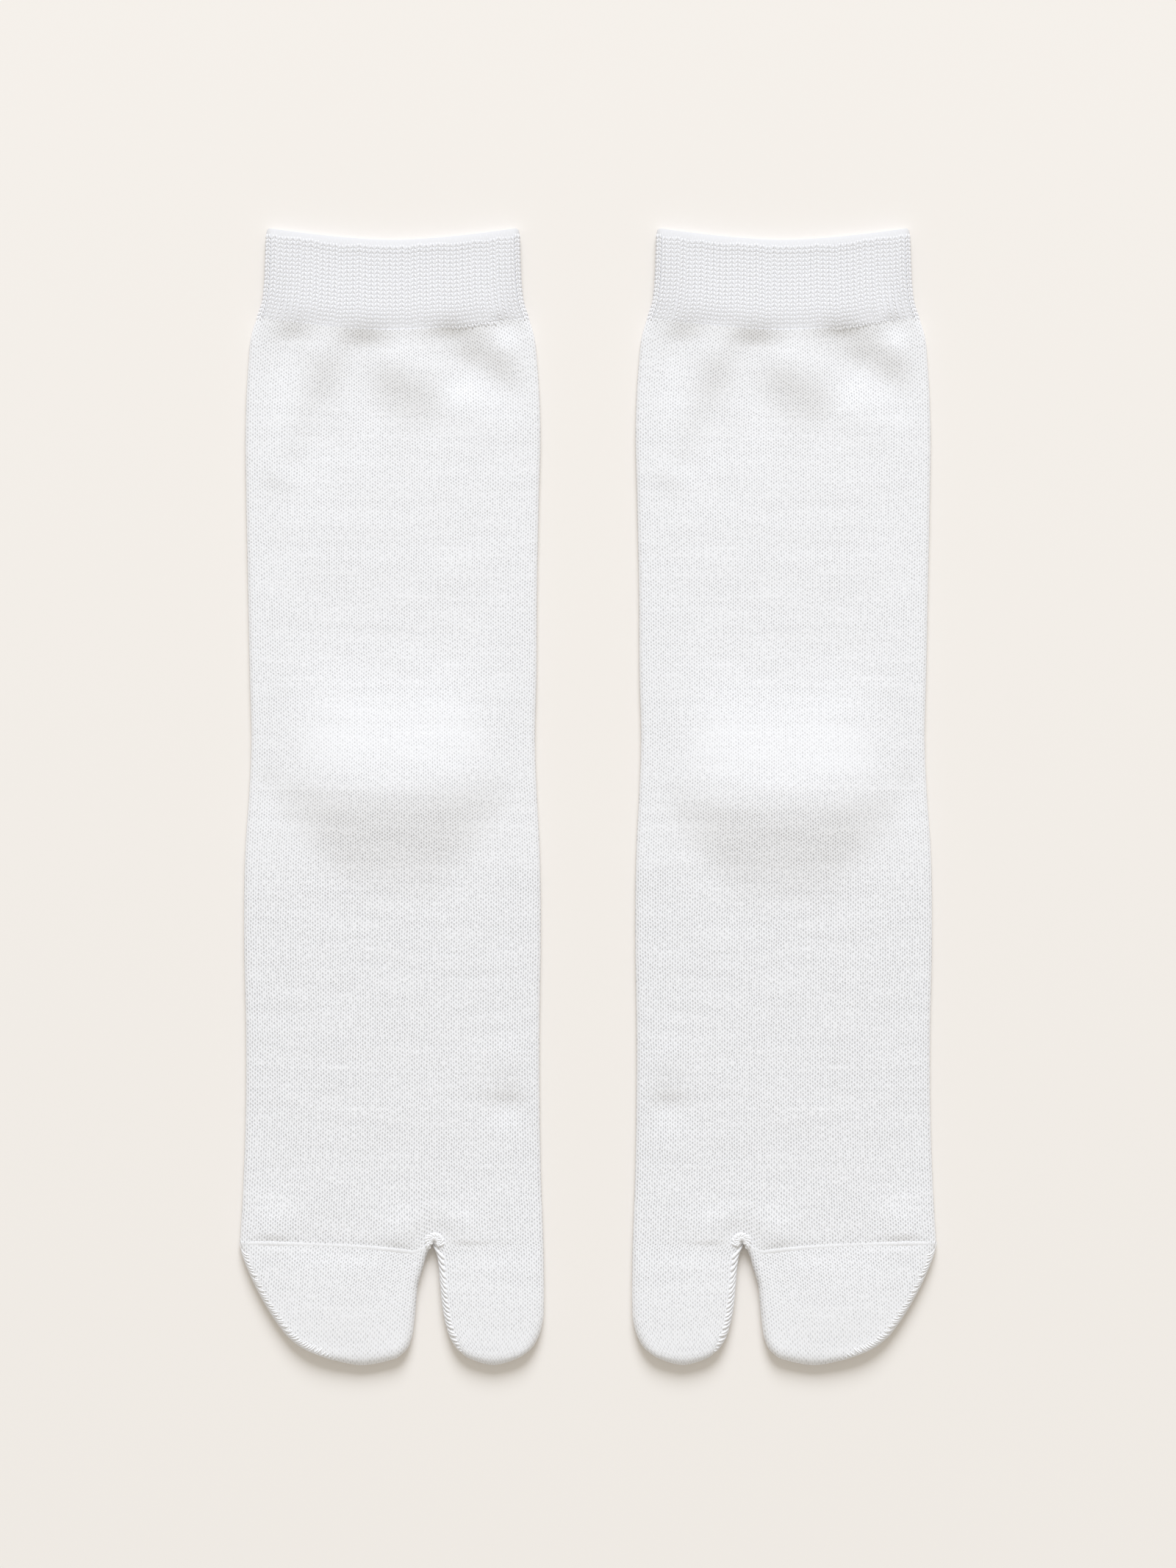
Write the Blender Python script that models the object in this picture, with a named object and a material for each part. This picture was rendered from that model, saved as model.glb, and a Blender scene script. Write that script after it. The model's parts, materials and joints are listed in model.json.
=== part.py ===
"""A pair of knitted tabi socks, laid flat side by side with their soles up.

Each sock is a tube of cloth pressed flat: the wall turns at a fold along both
sides, and the sole's layer lies on the instep's. A ribbed, turned welt closes
round the leg at the top. At the other end the tube runs on into the big toe, and
a pocket for the four small toes is sewn to it along a straight seam.

Frame: X across the pair, Y from the toes to the cuffs, Z up. The origin is on the
surface that the socks lie on, midway between them and midway along them.
Inside the functions a sock has its own X: 0 on its centreline, plus towards the
big toe and minus towards the little toe.
"""

import math
from collections import namedtuple

import bmesh
import bpy

MM = 0.001             # every size below is in millimetres

# Layout
SOCK_CENTRE = 65.2     # from the middle of the pair to each sock's centreline
CROTCH_X = 13.6        # where the toes part
CROTCH_Y = -150.4

# Ribbed cuff
RIBS = 40              # raised ribs across the upper face
RIB_HEIGHT = 0.35
RIM_ROUND = 0.6        # the turned edge at the top is rounded off by this much

# A row is one section across a flattened tube: the plan points of its two folds,
# how far its middle sags towards the toes, the thickness of both layers at the
# fold, how much higher the middle of the upper layer stands, and one layer's wall.
Row = namedtuple("Row", "left_x left_y right_x right_y sag fold puff wall")
SAG_POWER = 1.6        # 2 would make a row's sag a parabola

CUFF_ROWS = [
    #    left x   left y  right x right y   sag  fold  puff  wall
    Row(-42.3,   190.0,   42.3,   190.0,   4.1,  4.0,  0.0,  1.7),
    Row(-42.4,   189.2,   42.3,   189.2,   4.1,  4.0,  0.0,  1.7),
    Row(-43.0,   171.0,   42.9,   171.0,   4.4,  4.0,  0.1,  1.7),
    Row(-43.8,   165.0,   43.7,   165.0,   4.5,  4.0,  0.1,  1.7),
    Row(-45.3,   160.5,   45.2,   160.5,   4.6,  4.0,  0.0,  1.7),
]
TUBE_ROWS = [
    Row(-45.4,   160.2,   45.3,   160.2,   4.6,  3.8,  0.1,  1.2),
    Row(-47.3,   154.5,   47.1,   154.5,   4.3,  3.6,  0.3,  1.2),
    Row(-48.4,   144.0,   48.3,   144.0,   3.4,  3.4,  0.4,  1.2),
    Row(-49.3,   124.0,   49.3,   124.0,   1.8,  3.2,  0.4,  1.2),
    Row(-49.1,    99.0,   48.8,    99.0,   0.6,  3.2,  0.4,  1.2),
    Row(-48.5,    70.0,   48.2,    70.0,   0.0,  3.2,  0.4,  1.2),
    Row(-47.9,    40.0,   48.0,    40.0,   0.0,  3.2,  0.4,  1.2),
    Row(-47.4,    18.0,   47.5,    18.0,   0.0,  3.2,  0.4,  1.2),
    Row(-48.1,     1.0,   48.1,     1.0,   0.0,  3.2,  0.4,  1.2),
    Row(-49.3,   -16.0,   49.0,   -16.0,   0.0,  3.2,  0.4,  1.2),
    Row(-49.8,   -48.0,   49.4,   -48.0,   0.0,  3.2,  0.5,  1.2),
    Row(-49.2,   -78.0,   49.0,   -78.0,   0.0,  3.2,  0.5,  1.2),
    Row(-49.3,  -107.0,   49.1,  -107.0,   0.0,  3.3,  0.5,  1.2),
    Row(-50.0,  -128.0,   49.5,  -128.0,   0.0,  3.5,  0.4,  1.2),
    Row(-50.8,  -143.0,   50.1,  -143.0,   0.0,  3.9,  0.3,  1.2),
    Row(-51.2,  -148.9,   50.3,  -149.3,   0.0,  4.0,  0.2,  1.2),
]
BIG_TOE_ROWS = [
    Row(13.6,   -150.4,   50.3,  -149.3,   0.0,  4.0,  0.2,  1.2),
    Row(15.4,   -156.0,   50.4,  -155.6,   0.1,  4.3,  0.4,  1.3),
    Row(16.2,   -163.0,   50.5,  -162.6,   0.3,  4.5,  0.5,  1.3),
    Row(16.8,   -170.0,   50.5,  -169.2,   0.7,  4.6,  0.5,  1.3),
    Row(18.0,   -176.5,   50.1,  -175.6,   1.2,  4.6,  0.4,  1.4),
    Row(19.6,   -181.4,   48.5,  -181.0,   1.9,  4.6,  0.3,  1.4),
    Row(21.8,   -184.9,   45.9,  -184.9,   2.4,  4.6,  0.1,  1.5),
    Row(24.6,   -187.4,   42.5,  -187.4,   2.65, 4.6,  0.0,  1.5),
]
POCKET_ROWS = [
    Row(-51.2,  -149.3,   12.9,  -150.8,   0.0,  4.0,  0.2,  1.2),
    Row(-49.3,  -156.0,   10.1,  -155.8,   0.1,  4.3,  0.4,  1.3),
    Row(-46.2,  -163.0,    8.4,  -162.2,   0.3,  4.5,  0.5,  1.3),
    Row(-42.4,  -170.0,    7.8,  -169.0,   0.7,  4.6,  0.5,  1.3),
    Row(-38.2,  -176.5,    7.2,  -175.4,   1.1,  4.6,  0.5,  1.4),
    Row(-33.8,  -181.6,    6.3,  -181.0,   1.6,  4.6,  0.4,  1.4),
    Row(-28.6,  -185.1,    4.5,  -185.0,   2.0,  4.6,  0.2,  1.5),
    Row(-22.4,  -187.5,    1.4,  -187.7,   2.5,  4.6,  0.0,  1.5),
]

# Rows of the mesh along the leg and foot, closer together where the cloth changes
# shape: under the cuff, over the heel, at the foot's crease and near the crotch.
Stretch = namedtuple("Stretch", "to_y outer_steps inner_steps")
TUBE_STRETCHES = [
    Stretch(144.0, 5, 3),
    Stretch(116.0, 4, 2),
    Stretch(50.0, 4, 2),
    Stretch(8.0, 5, 3),
    Stretch(-32.0, 6, 4),
    Stretch(-90.0, 3, 2),
    Stretch(-109.0, 4, 2),
    Stretch(-141.0, 3, 2),
    Stretch(-145.5, 1, 1),
]
FOOT_COLUMNS = 6       # plain columns over the small toes' side of the foot
TOE_COLUMNS = 3        # and over the big toe's side, which run on into the toe
ROUND_STEP = 0.29      # share of a fold's radius where its round is half turned
CROTCH_SPREAD = 9.0    # half the width that the crotch's columns take up the foot
CROTCH_REACH = 32.0    # how far up the foot the seam's slant and spread die out
CROTCH_END = 3.0       # and how near the seam they are whole

# Folds of the upper layer. Those of the leg run the same way on both socks, so
# their X is measured to the right from each sock's centreline.
Ridge = namedtuple("Ridge", "from_x from_y to_x to_y width height")
LEG_RIDGES = [
    Ridge(-21.0, 150.0, -36.0, 119.0, 6.0, 0.7),
    Ridge(6.0, 151.0, 32.0, 127.0, 6.0, 0.9),
    Ridge(31.0, 156.0, 41.0, 147.0, 4.5, 0.6),
]
Hollow = namedtuple("Hollow", "x y wide long depth")
CUFF_HOLLOWS = [       # where the welt draws the leg in
    Hollow(-33.0, 157.0, 6.5, 4.0, 0.7),
    Hollow(-8.3, 154.8, 6.5, 4.0, 0.7),
    Hollow(19.9, 155.6, 6.5, 4.0, 0.7),
    Hollow(37.5, 157.4, 4.5, 4.0, 0.5),
]
FOOT_CREASE = Hollow(39.0, -99.5, 9.0, 4.0, 0.4)
CROTCH_GATHER = Hollow(CROTCH_X, -142.5, 7.0, 5.0, -0.6)

# The heel's fullness stands up out of the sole's layer.
HEEL_HEIGHT = 2.6
HEEL_CREST_Y = -2.0    # on the centreline; the crest bends up towards the sides
HEEL_CREST_BEND = 13.0
HEEL_HALF_WIDTH = 40.0
HEEL_FLAT_HALF = 16.0
HEEL_RISE = 50.0       # length of the slope on the leg's side
HEEL_FALL = 25.0       # length of the slope on the foot's side
INLAND = 3.0           # fold thicknesses from the fold to where relief is whole

WHITE_COTTON = (0.86, 0.86, 0.87, 1.0)
SOFT_WHITE = (0.84, 0.84, 0.85, 1.0)


def lerp(a, b, share):
    return a + (b - a) * share


def smooth(share):
    """0 to 1 with level ends."""
    share = min(max(share, 0.0), 1.0)
    return share * share * (3 - 2 * share)


def row_at(rows, along):
    """The row whose left end is at this Y, in a table that runs down in Y."""
    last = len(rows) - 2
    i = next((k for k in range(last) if along >= rows[k + 1].left_y), last)
    share = (rows[i].left_y - along) / (rows[i].left_y - rows[i + 1].left_y)
    return Row(*(lerp(a, b, share) for a, b in zip(rows[i], rows[i + 1])))


def width_of(row):
    return math.hypot(row.right_x - row.left_x, row.right_y - row.left_y)


def plan_point(row, distance):
    """X and Y at a distance from the row's left fold."""
    share = distance / width_of(row)
    sag = row.sag * (1 - abs(2 * share - 1) ** SAG_POWER)
    return lerp(row.left_x, row.right_x, share), lerp(row.left_y, row.right_y, share) - sag


def heel_lift(x, y):
    across = 1 - smooth((abs(x) - HEEL_FLAT_HALF) / (HEEL_HALF_WIDTH - HEEL_FLAT_HALF))
    crest = HEEL_CREST_Y + HEEL_CREST_BEND * (x / HEEL_HALF_WIDTH) ** 2
    rise = smooth(1 - (y - crest) / HEEL_RISE)
    fall = 1 - smooth((crest - y) / HEEL_FALL)
    return HEEL_HEIGHT * across * rise * fall


def ridge_lift(ridge, x, y):
    run_x, run_y = ridge.to_x - ridge.from_x, ridge.to_y - ridge.from_y
    length = math.hypot(run_x, run_y)
    along = ((x - ridge.from_x) * run_x + (y - ridge.from_y) * run_y) / length
    beside = ((x - ridge.from_x) * run_y - (y - ridge.from_y) * run_x) / length
    past = max(-along, along - length, 0.0)
    return ridge.height * math.exp(-(beside**2 + past**2) / ridge.width**2)


def hollow_drop(hollow, x, y):
    reach = ((x - hollow.x) / hollow.wide) ** 2 + ((y - hollow.y) / hollow.long) ** 2
    return hollow.depth * math.exp(-reach)


def relief(x, y, side):
    """Folds and fullness of the upper layer, above its plain height."""
    leg = sum(ridge_lift(ridge, side * x, y) for ridge in LEG_RIDGES)
    leg -= sum(hollow_drop(hollow, side * x, y) for hollow in CUFF_HOLLOWS)
    foot = hollow_drop(FOOT_CREASE, x, y) + hollow_drop(CROTCH_GATHER, x, y)
    return leg - foot + heel_lift(x, y)


def evenly(start, end, count):
    """So many places between two others."""
    return [lerp(start, end, k / (count + 1)) for k in range(1, count + 1)]


def near_columns(radius, inset):
    """Distances from a fold: its middle, half round, and where the layer is level."""
    return [inset, lerp(inset, radius, ROUND_STEP), radius]


def columns_across(row, inset, plain):
    """Distances across a row: close together round each fold, even between them."""
    width, radius = width_of(row), row.fold / 2
    near = near_columns(radius, inset)
    return near + evenly(radius, width - radius, plain) + [width - d for d in reversed(near)]


def tube_columns(row, inset, closeness):
    """Columns of the leg and foot. The five at the crotch close up towards it."""
    width, radius = width_of(row), row.fold / 2
    near = near_columns(radius, inset)
    crotch = (CROTCH_X - row.left_x) / (row.right_x - row.left_x) * width
    half = lerp(CROTCH_SPREAD, radius, closeness)
    quarter = lerp(CROTCH_SPREAD / 2, near[1], closeness)
    left = near + evenly(radius, crotch - half, FOOT_COLUMNS)
    middle = [crotch - half, crotch - quarter, crotch, crotch + quarter, crotch + half]
    right = evenly(crotch + half, width - radius, TOE_COLUMNS)
    return left + middle + right + [width - d for d in reversed(near)]


def layer_height(row, edge, inset, lift, share, upper):
    """Z of a layer at a distance from the outline, on a quarter round near the fold."""
    radius = row.fold / 2
    short = radius - min(edge, radius)
    rise = math.sqrt(max((radius - inset) ** 2 - short**2, 0.0))
    if not upper:
        return radius - rise
    inland = smooth((edge - radius) / (INLAND * row.fold))
    puff = row.puff * (1 - abs(2 * share - 1) ** 4)
    return radius + rise + inland * (lift + puff)


def seam_closeness(along):
    """0 up the foot, 1 from a little above the seam down to it."""
    above = along - TUBE_ROWS[-1].left_y
    return smooth((CROTCH_REACH - above) / (CROTCH_REACH - CROTCH_END))


def slant_to_seam(x, row):
    """How far the seam's line lies below a straight row, at this X."""
    if x <= CROTCH_X:
        share = (x - row.left_x) / (CROTCH_X - row.left_x)
        return share * (CROTCH_Y - TUBE_ROWS[-1].left_y)
    share = (x - CROTCH_X) / (row.right_x - CROTCH_X)
    rise = TUBE_ROWS[-1].right_y - CROTCH_Y
    return CROTCH_Y - TUBE_ROWS[-1].left_y + share * rise


def tube_row(along, side, upper, inner, to_seam=False):
    """Points of one layer across the leg or foot, left to right."""
    row = row_at(TUBE_ROWS, along)
    row = row._replace(right_y=row.left_y)
    inset = row.wall if inner else 0.0
    closeness = seam_closeness(along)
    points = []
    for distance in tube_columns(row, inset, closeness):
        x, y = plan_point(row, distance)
        y += closeness * slant_to_seam(x, row)
        to_crotch = abs(x - CROTCH_X) if to_seam else math.hypot(x - CROTCH_X, y - CROTCH_Y)
        edge = min(distance, width_of(row) - distance, to_crotch)
        share = distance / width_of(row)
        lift = relief(x, y, side) if upper else 0.0
        points.append((x, y, layer_height(row, edge, inset, lift, share, upper)))
    return points


def crotch_column(points):
    """Index of the column that runs down to the crotch."""
    return min(range(len(points)), key=lambda i: abs(points[i][0] - CROTCH_X))


def tube_layer(side, upper, inner):
    """Rows of the leg and foot from the cuff to the seam."""
    seam = TUBE_ROWS[-1].left_y
    heights = [TUBE_ROWS[0].left_y]
    for stretch in TUBE_STRETCHES:
        steps = stretch.inner_steps if inner else stretch.outer_steps
        start = heights[-1]
        heights += [lerp(start, stretch.to_y, (k + 1) / steps) for k in range(steps)]
    near_crotch = TUBE_ROWS[-1].wall
    heights.append(seam + (near_crotch if inner else near_crotch + 0.8))
    if not inner:
        heights.append(seam + near_crotch / 2)
    rows = [tube_row(along, side, upper, inner) for along in heights]
    return rows, tube_row(seam, side, upper, inner, to_seam=True)


def toe_layer(table, plain, upper, inner):
    """Rows of a closed toe from its mouth to its tip."""
    tip = table[-1]
    inset = tip.wall if inner else 0.0
    radius = tip.fold / 2
    heights = [row.left_y for row in table[:-1]]
    heights += [tip.left_y + lerp(inset, radius, ROUND_STEP), tip.left_y + inset]
    layer = []
    for along in heights:
        row = row_at(table, along)
        inset = row.wall if inner else 0.0
        to_tip = max(along - tip.left_y, inset)
        points = []
        for distance in columns_across(row, inset, plain):
            x, y = plan_point(row, distance)
            edge = min(distance, width_of(row) - distance, to_tip)
            share = distance / width_of(row)
            points.append((x, y, layer_height(row, edge, inset, 0.0, share, upper)))
        layer.append(points)
    return layer


def cuff_layer(upper, inner):
    """Rows of the cuff from its turned edge down to the leg, ribbed on the upper face."""
    layer = []
    for number, row in enumerate(CUFF_ROWS):
        inset = row.wall if inner else 0.0
        plain = 2 * RIBS - 1 if upper else 3
        points = []
        for column, distance in enumerate(columns_across(row, inset, plain)):
            x, y = plan_point(row, distance)
            edge = min(distance, width_of(row) - distance)
            share = distance / width_of(row)
            z = layer_height(row, edge, inset, 0.0, share, upper)
            on_rib = upper and not inner and edge > row.fold / 2 and column % 2
            if on_rib:
                z += RIB_HEIGHT
            if number == 0 and not inner:
                z = lerp(z, row.fold / 2, RIM_ROUND / (row.fold / 2))
            points.append((x, y, z))
        layer.append(points)
    return layer


class Cloth:
    """Gathers the faces of one piece and turns them into an object.

    The left sock is made with side 1, and the right one is its mirror image, side -1.
    """

    def __init__(self, side):
        self.side = side
        self.faces = []

    def place(self, point):
        x, y, z = point
        return (self.side * x * MM, y * MM, z * MM)

    def strip(self, one, other):
        """Quads between two rows that have the same number of points."""
        for i in range(len(one) - 1):
            self.faces.append([one[i], other[i], other[i + 1], one[i + 1]])

    def grid(self, rows):
        for one, other in zip(rows, rows[1:]):
            self.strip(one, other)

    def to_object(self, name, sock, colour):
        mesh = bmesh.new()
        for face in self.faces:
            mesh.faces.new([mesh.verts.new(self.place(point)) for point in face])
        bmesh.ops.remove_doubles(mesh, verts=mesh.verts, dist=0.0001 * MM)
        bmesh.ops.recalc_face_normals(mesh, faces=mesh.faces)
        data = bpy.data.meshes.new(name)
        mesh.to_mesh(data)
        mesh.free()
        data.shade_smooth()
        data.materials.append(cloth_material(name, colour))
        piece = bpy.data.objects.new(name, data)
        piece.parent = sock
        sock.users_collection[0].objects.link(piece)


def cloth_material(name, colour):
    material = bpy.data.materials.new(name + "_cotton")
    material.use_nodes = True
    shader = material.node_tree.nodes["Principled BSDF"]
    shader.inputs["Base Color"].default_value = colour
    shader.inputs["Roughness"].default_value = 0.9
    return material


def build_cuff(name, side, sock):
    """A ring of double cloth, open at both ends."""
    cloth = Cloth(side)
    for upper in (True, False):
        outer = cuff_layer(upper, inner=False)
        inner = cuff_layer(upper, inner=True)
        inner = [inner[0], inner[-1]]
        cloth.grid(outer)
        cloth.grid(inner)
        cloth.strip(outer[0], inner[0])
        cloth.strip(outer[-1], inner[-1])
    cloth.to_object(name, sock, SOFT_WHITE)


def build_tube(name, side, sock):
    """The leg, foot and big toe in one, open at the cuff and towards the small toes."""
    cloth = Cloth(side)
    for upper in (True, False):
        edges = []
        for inner in (False, True):
            rows, seam_row = tube_layer(side, upper, inner)
            crotch = crotch_column(rows[-1])
            cloth.grid(rows)
            mouth = seam_row[: crotch + 1]
            toe = toe_layer(BIG_TOE_ROWS, TOE_COLUMNS, upper, inner)
            if inner:
                wall = TUBE_ROWS[-1].wall
                mouth[-1] = (CROTCH_X - wall, mouth[-1][1], mouth[-1][2])
            cloth.strip(rows[-1][: crotch + 1], mouth)
            cloth.strip(rows[-1][crotch:], toe[0])
            cloth.grid(toe)
            edges.append((rows[0], mouth))
        cloth.strip(edges[0][0], edges[1][0])
        cloth.strip(edges[0][1], edges[1][1])
    cloth.to_object(name, sock, WHITE_COTTON)


def build_pocket(name, side, sock):
    """The small toes' pocket, closed but for its mouth at the seam."""
    cloth = Cloth(side)
    for upper in (True, False):
        outer = toe_layer(POCKET_ROWS, FOOT_COLUMNS, upper, inner=False)
        inner = toe_layer(POCKET_ROWS, FOOT_COLUMNS, upper, inner=True)
        cloth.grid(outer)
        cloth.grid(inner)
        cloth.strip(outer[0], inner[0])
    cloth.to_object(name, sock, WHITE_COTTON)


def main():
    for thing in list(bpy.data.objects):
        bpy.data.objects.remove(thing)
    collection = bpy.data.collections.new("tabi_sock_pair")
    bpy.context.scene.collection.children.link(collection)
    for foot, side in (("left", 1), ("right", -1)):
        sock = bpy.data.objects.new(foot + "_sock", None)
        sock.location.x = -side * SOCK_CENTRE * MM
        collection.objects.link(sock)
        build_cuff(foot + "_cuff", side, sock)
        build_tube(foot + "_tube", side, sock)
        build_pocket(foot + "_toe_pocket", side, sock)


main()
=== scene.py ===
# %% [markdown]
# # A pair of knitted tabi socks
#
# Two white cotton socks lie flat, side by side, with their soles up. Each one is a
# tube of fine jersey with a ribbed cuff at the top. At the other end the tube runs on
# into the big toe, and a pocket for the four small toes is sewn to it.
#
# The lesson builds each piece of cloth as a thin, closed shell from a short table of
# sizes. It then lays real yarn stitches over the cuff and along the seams with
# Geometry Nodes, and lets a shader draw the fine stitches of the jersey, because
# there are far too many of those to model.

import json
import math
from collections import namedtuple

import bmesh
import bpy
import numpy as np
from mathutils import Matrix, Vector
from mathutils.bvhtree import BVHTree

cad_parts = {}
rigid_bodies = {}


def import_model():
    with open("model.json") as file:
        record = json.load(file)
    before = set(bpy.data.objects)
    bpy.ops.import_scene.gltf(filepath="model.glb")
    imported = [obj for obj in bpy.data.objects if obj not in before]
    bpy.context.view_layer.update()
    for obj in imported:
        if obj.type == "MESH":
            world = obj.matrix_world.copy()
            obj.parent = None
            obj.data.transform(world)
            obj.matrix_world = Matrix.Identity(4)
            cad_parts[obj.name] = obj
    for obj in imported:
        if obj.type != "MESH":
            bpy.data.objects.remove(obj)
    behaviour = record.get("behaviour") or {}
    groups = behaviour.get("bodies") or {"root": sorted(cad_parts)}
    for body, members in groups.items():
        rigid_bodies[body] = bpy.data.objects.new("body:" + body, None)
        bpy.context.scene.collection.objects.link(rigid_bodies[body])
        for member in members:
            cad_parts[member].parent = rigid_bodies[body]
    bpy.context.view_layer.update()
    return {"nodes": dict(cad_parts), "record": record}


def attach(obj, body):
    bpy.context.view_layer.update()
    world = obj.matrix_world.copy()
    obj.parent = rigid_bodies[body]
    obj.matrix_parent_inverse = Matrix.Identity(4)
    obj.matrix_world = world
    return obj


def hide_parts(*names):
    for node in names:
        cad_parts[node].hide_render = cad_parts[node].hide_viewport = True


for thing in list(bpy.data.objects):
    bpy.data.objects.remove(thing)
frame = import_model()

MM = 0.001
mounts = {mount["name"]: mount["pos_m"] for mount in frame["record"]["mounts"]}
SOCK_CENTRE = abs(mounts["left_sock_underside"][0]) / MM
FEET = {"left": 1, "right": -1}    # the right sock is the left one's mirror image
print("nodes:", sorted(frame["nodes"]))
print("each sock's centreline is", round(SOCK_CENTRE, 1), "mm from the middle")

# %% [markdown]
# ## Sections of a flattened tube
#
# A sock pressed flat is easiest to describe by its sections. Each row of a table is
# one section: where its two side folds lie, how far its middle sags towards the toes,
# how thick both layers are at the fold, how much the upper layer puffs up in the
# middle, and how thick one layer of cloth is. All of it is in millimetres, on the
# sock's own X, which is 0 on its centreline and plus towards the big toe.

# %% The tables of sections
Row = namedtuple("Row", "left_x left_y right_x right_y sag fold puff wall")
SAG_POWER = 1.6        # 2 would make a row's sag a parabola
CROTCH_X = 13.6        # where the toes part
CROTCH_Y = -149.5

CUFF_ROWS = [
    #    left x   left y  right x right y   sag  fold  puff  wall
    Row(-42.3,   190.0,   42.3,   190.0,   4.1,  3.9,  0.0,  1.2),
    Row(-42.6,   180.0,   42.5,   180.0,   4.2,  4.0,  0.3,  1.7),
    Row(-43.0,   171.0,   42.9,   171.0,   4.4,  4.0,  0.95, 1.7),
    Row(-43.8,   165.0,   43.7,   165.0,   4.5,  4.0,  1.4,  1.7),
    Row(-45.3,   160.4,   45.2,   160.4,   4.6,  3.9,  1.5,  1.7),
]
TUBE_ROWS = [
    Row(-45.4,   160.35,  45.3,   160.35,  4.6,  3.9,  1.5,  1.2),
    Row(-47.3,   154.5,   47.1,   154.5,   4.3,  3.7,  1.1,  1.2),
    Row(-48.4,   144.0,   48.3,   144.0,   3.4,  3.5,  0.75, 1.2),
    Row(-49.3,   124.0,   49.3,   124.0,   1.8,  3.5,  0.4,  1.2),
    Row(-49.1,    99.0,   48.8,    99.0,   0.6,  3.5,  0.4,  1.2),
    Row(-48.5,    70.0,   48.2,    70.0,   0.0,  3.5,  0.4,  1.2),
    Row(-47.9,    40.0,   48.0,    40.0,   0.0,  3.5,  0.4,  1.2),
    Row(-47.4,    18.0,   47.5,    18.0,   0.0,  3.5,  0.4,  1.2),
    Row(-48.1,     1.0,   48.1,     1.0,   0.0,  3.5,  0.4,  1.2),
    Row(-49.3,   -16.0,   49.0,   -16.0,   0.0,  3.5,  0.4,  1.2),
    Row(-49.8,   -48.0,   49.4,   -48.0,   0.0,  3.5,  0.5,  1.2),
    Row(-49.2,   -78.0,   49.0,   -78.0,   0.0,  3.5,  0.5,  1.2),
    Row(-49.3,  -107.0,   49.1,  -107.0,   0.0,  3.5,  0.5,  1.2),
    Row(-50.0,  -128.0,   49.5,  -128.0,   0.0,  3.6,  0.4,  1.2),
    Row(-50.8,  -143.0,   50.1,  -143.0,   0.0,  3.9,  0.3,  1.2),
    Row(-51.2,  -148.9,   50.3,  -148.9,   0.0,  4.0,  0.2,  1.2),
]
BIG_TOE_ROWS = [
    Row(13.6,   -149.5,   50.3,  -149.3,   0.0,  4.0,  0.2,  1.2),
    Row(15.0,   -152.6,   50.35, -151.8,   0.0,  4.1,  0.3,  1.2),
    Row(15.6,   -156.0,   50.4,  -155.6,   0.1,  4.3,  0.4,  1.3),
    Row(16.2,   -163.0,   50.5,  -162.6,   0.3,  4.5,  0.5,  1.3),
    Row(16.8,   -170.0,   50.5,  -169.2,   0.7,  4.6,  0.5,  1.3),
    Row(18.0,   -176.5,   50.1,  -175.6,   1.2,  4.6,  0.4,  1.4),
    Row(19.6,   -181.4,   48.5,  -181.0,   1.9,  4.6,  0.3,  1.4),
    Row(21.8,   -184.9,   45.9,  -184.9,   2.4,  4.6,  0.1,  1.5),
    Row(24.6,   -187.4,   42.5,  -187.4,   2.65, 4.6,  0.0,  1.5),
]
POCKET_ROWS = [
    Row(-51.2,  -149.1,   12.9,  -149.8,   0.0,  4.0,  0.2,  1.2),
    Row(-50.6,  -152.2,   11.4,  -152.4,   0.0,  4.1,  0.3,  1.2),
    Row(-49.3,  -156.0,   10.3,  -155.8,   0.1,  4.3,  0.4,  1.3),
    Row(-46.2,  -163.0,    8.4,  -162.2,   0.3,  4.5,  0.5,  1.3),
    Row(-42.4,  -170.0,    7.8,  -169.0,   0.7,  4.6,  0.5,  1.3),
    Row(-38.2,  -176.5,    7.2,  -175.4,   1.1,  4.6,  0.5,  1.4),
    Row(-33.8,  -181.6,    6.3,  -181.0,   1.6,  4.6,  0.4,  1.4),
    Row(-28.6,  -185.1,    4.5,  -185.0,   2.0,  4.6,  0.2,  1.5),
    Row(-22.4,  -187.5,    1.4,  -187.7,   2.5,  4.6,  0.0,  1.5),
]
print("rows:", len(CUFF_ROWS), len(TUBE_ROWS), len(BIG_TOE_ROWS), len(POCKET_ROWS))


# %% Read a table on a smooth curve through its rows
def lerp(a, b, share):
    return a + (b - a) * share


def smooth(share):
    """0 to 1 with level ends."""
    share = np.clip(share, 0.0, 1.0)
    return share * share * (3 - 2 * share)


def through(places, values, at):
    """A smooth curve through values at falling places, read at other places."""
    slopes = np.gradient(values, places)
    i = np.clip(np.searchsorted(-places, -at) - 1, 0, len(places) - 2)
    gap = places[i + 1] - places[i]
    t = (at - places[i]) / gap
    start, end = values[i] * (1 + 2 * t) * (1 - t) ** 2, values[i + 1] * t**2 * (3 - 2 * t)
    return start + end + gap * t * (1 - t) * (slopes[i] * (1 - t) - slopes[i + 1] * t)


def rows_at(table, along):
    """Sections at these Y values of the left fold. Each field is a column, one value a row."""
    places = np.array([row.left_y for row in table])
    along = np.asarray(along, float)[:, None]
    fields = [through(places, np.array(values), along) for values in zip(*table)]
    return Row(*fields)


def width_of(rows):
    return np.hypot(rows.right_x - rows.left_x, rows.right_y - rows.left_y)


def in_plan(rows, distance):
    """X and Y at these distances from the left fold."""
    share = distance / width_of(rows)
    sag = rows.sag * (1 - np.abs(2 * share - 1) ** SAG_POWER)
    x = lerp(rows.left_x, rows.right_x, share)
    return x, lerp(rows.left_y, rows.right_y, share) - sag


heel = rows_at(TUBE_ROWS, [0.0])
print("the sock is", round(float(width_of(heel)[0, 0]), 1), "mm wide at the heel")

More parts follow.
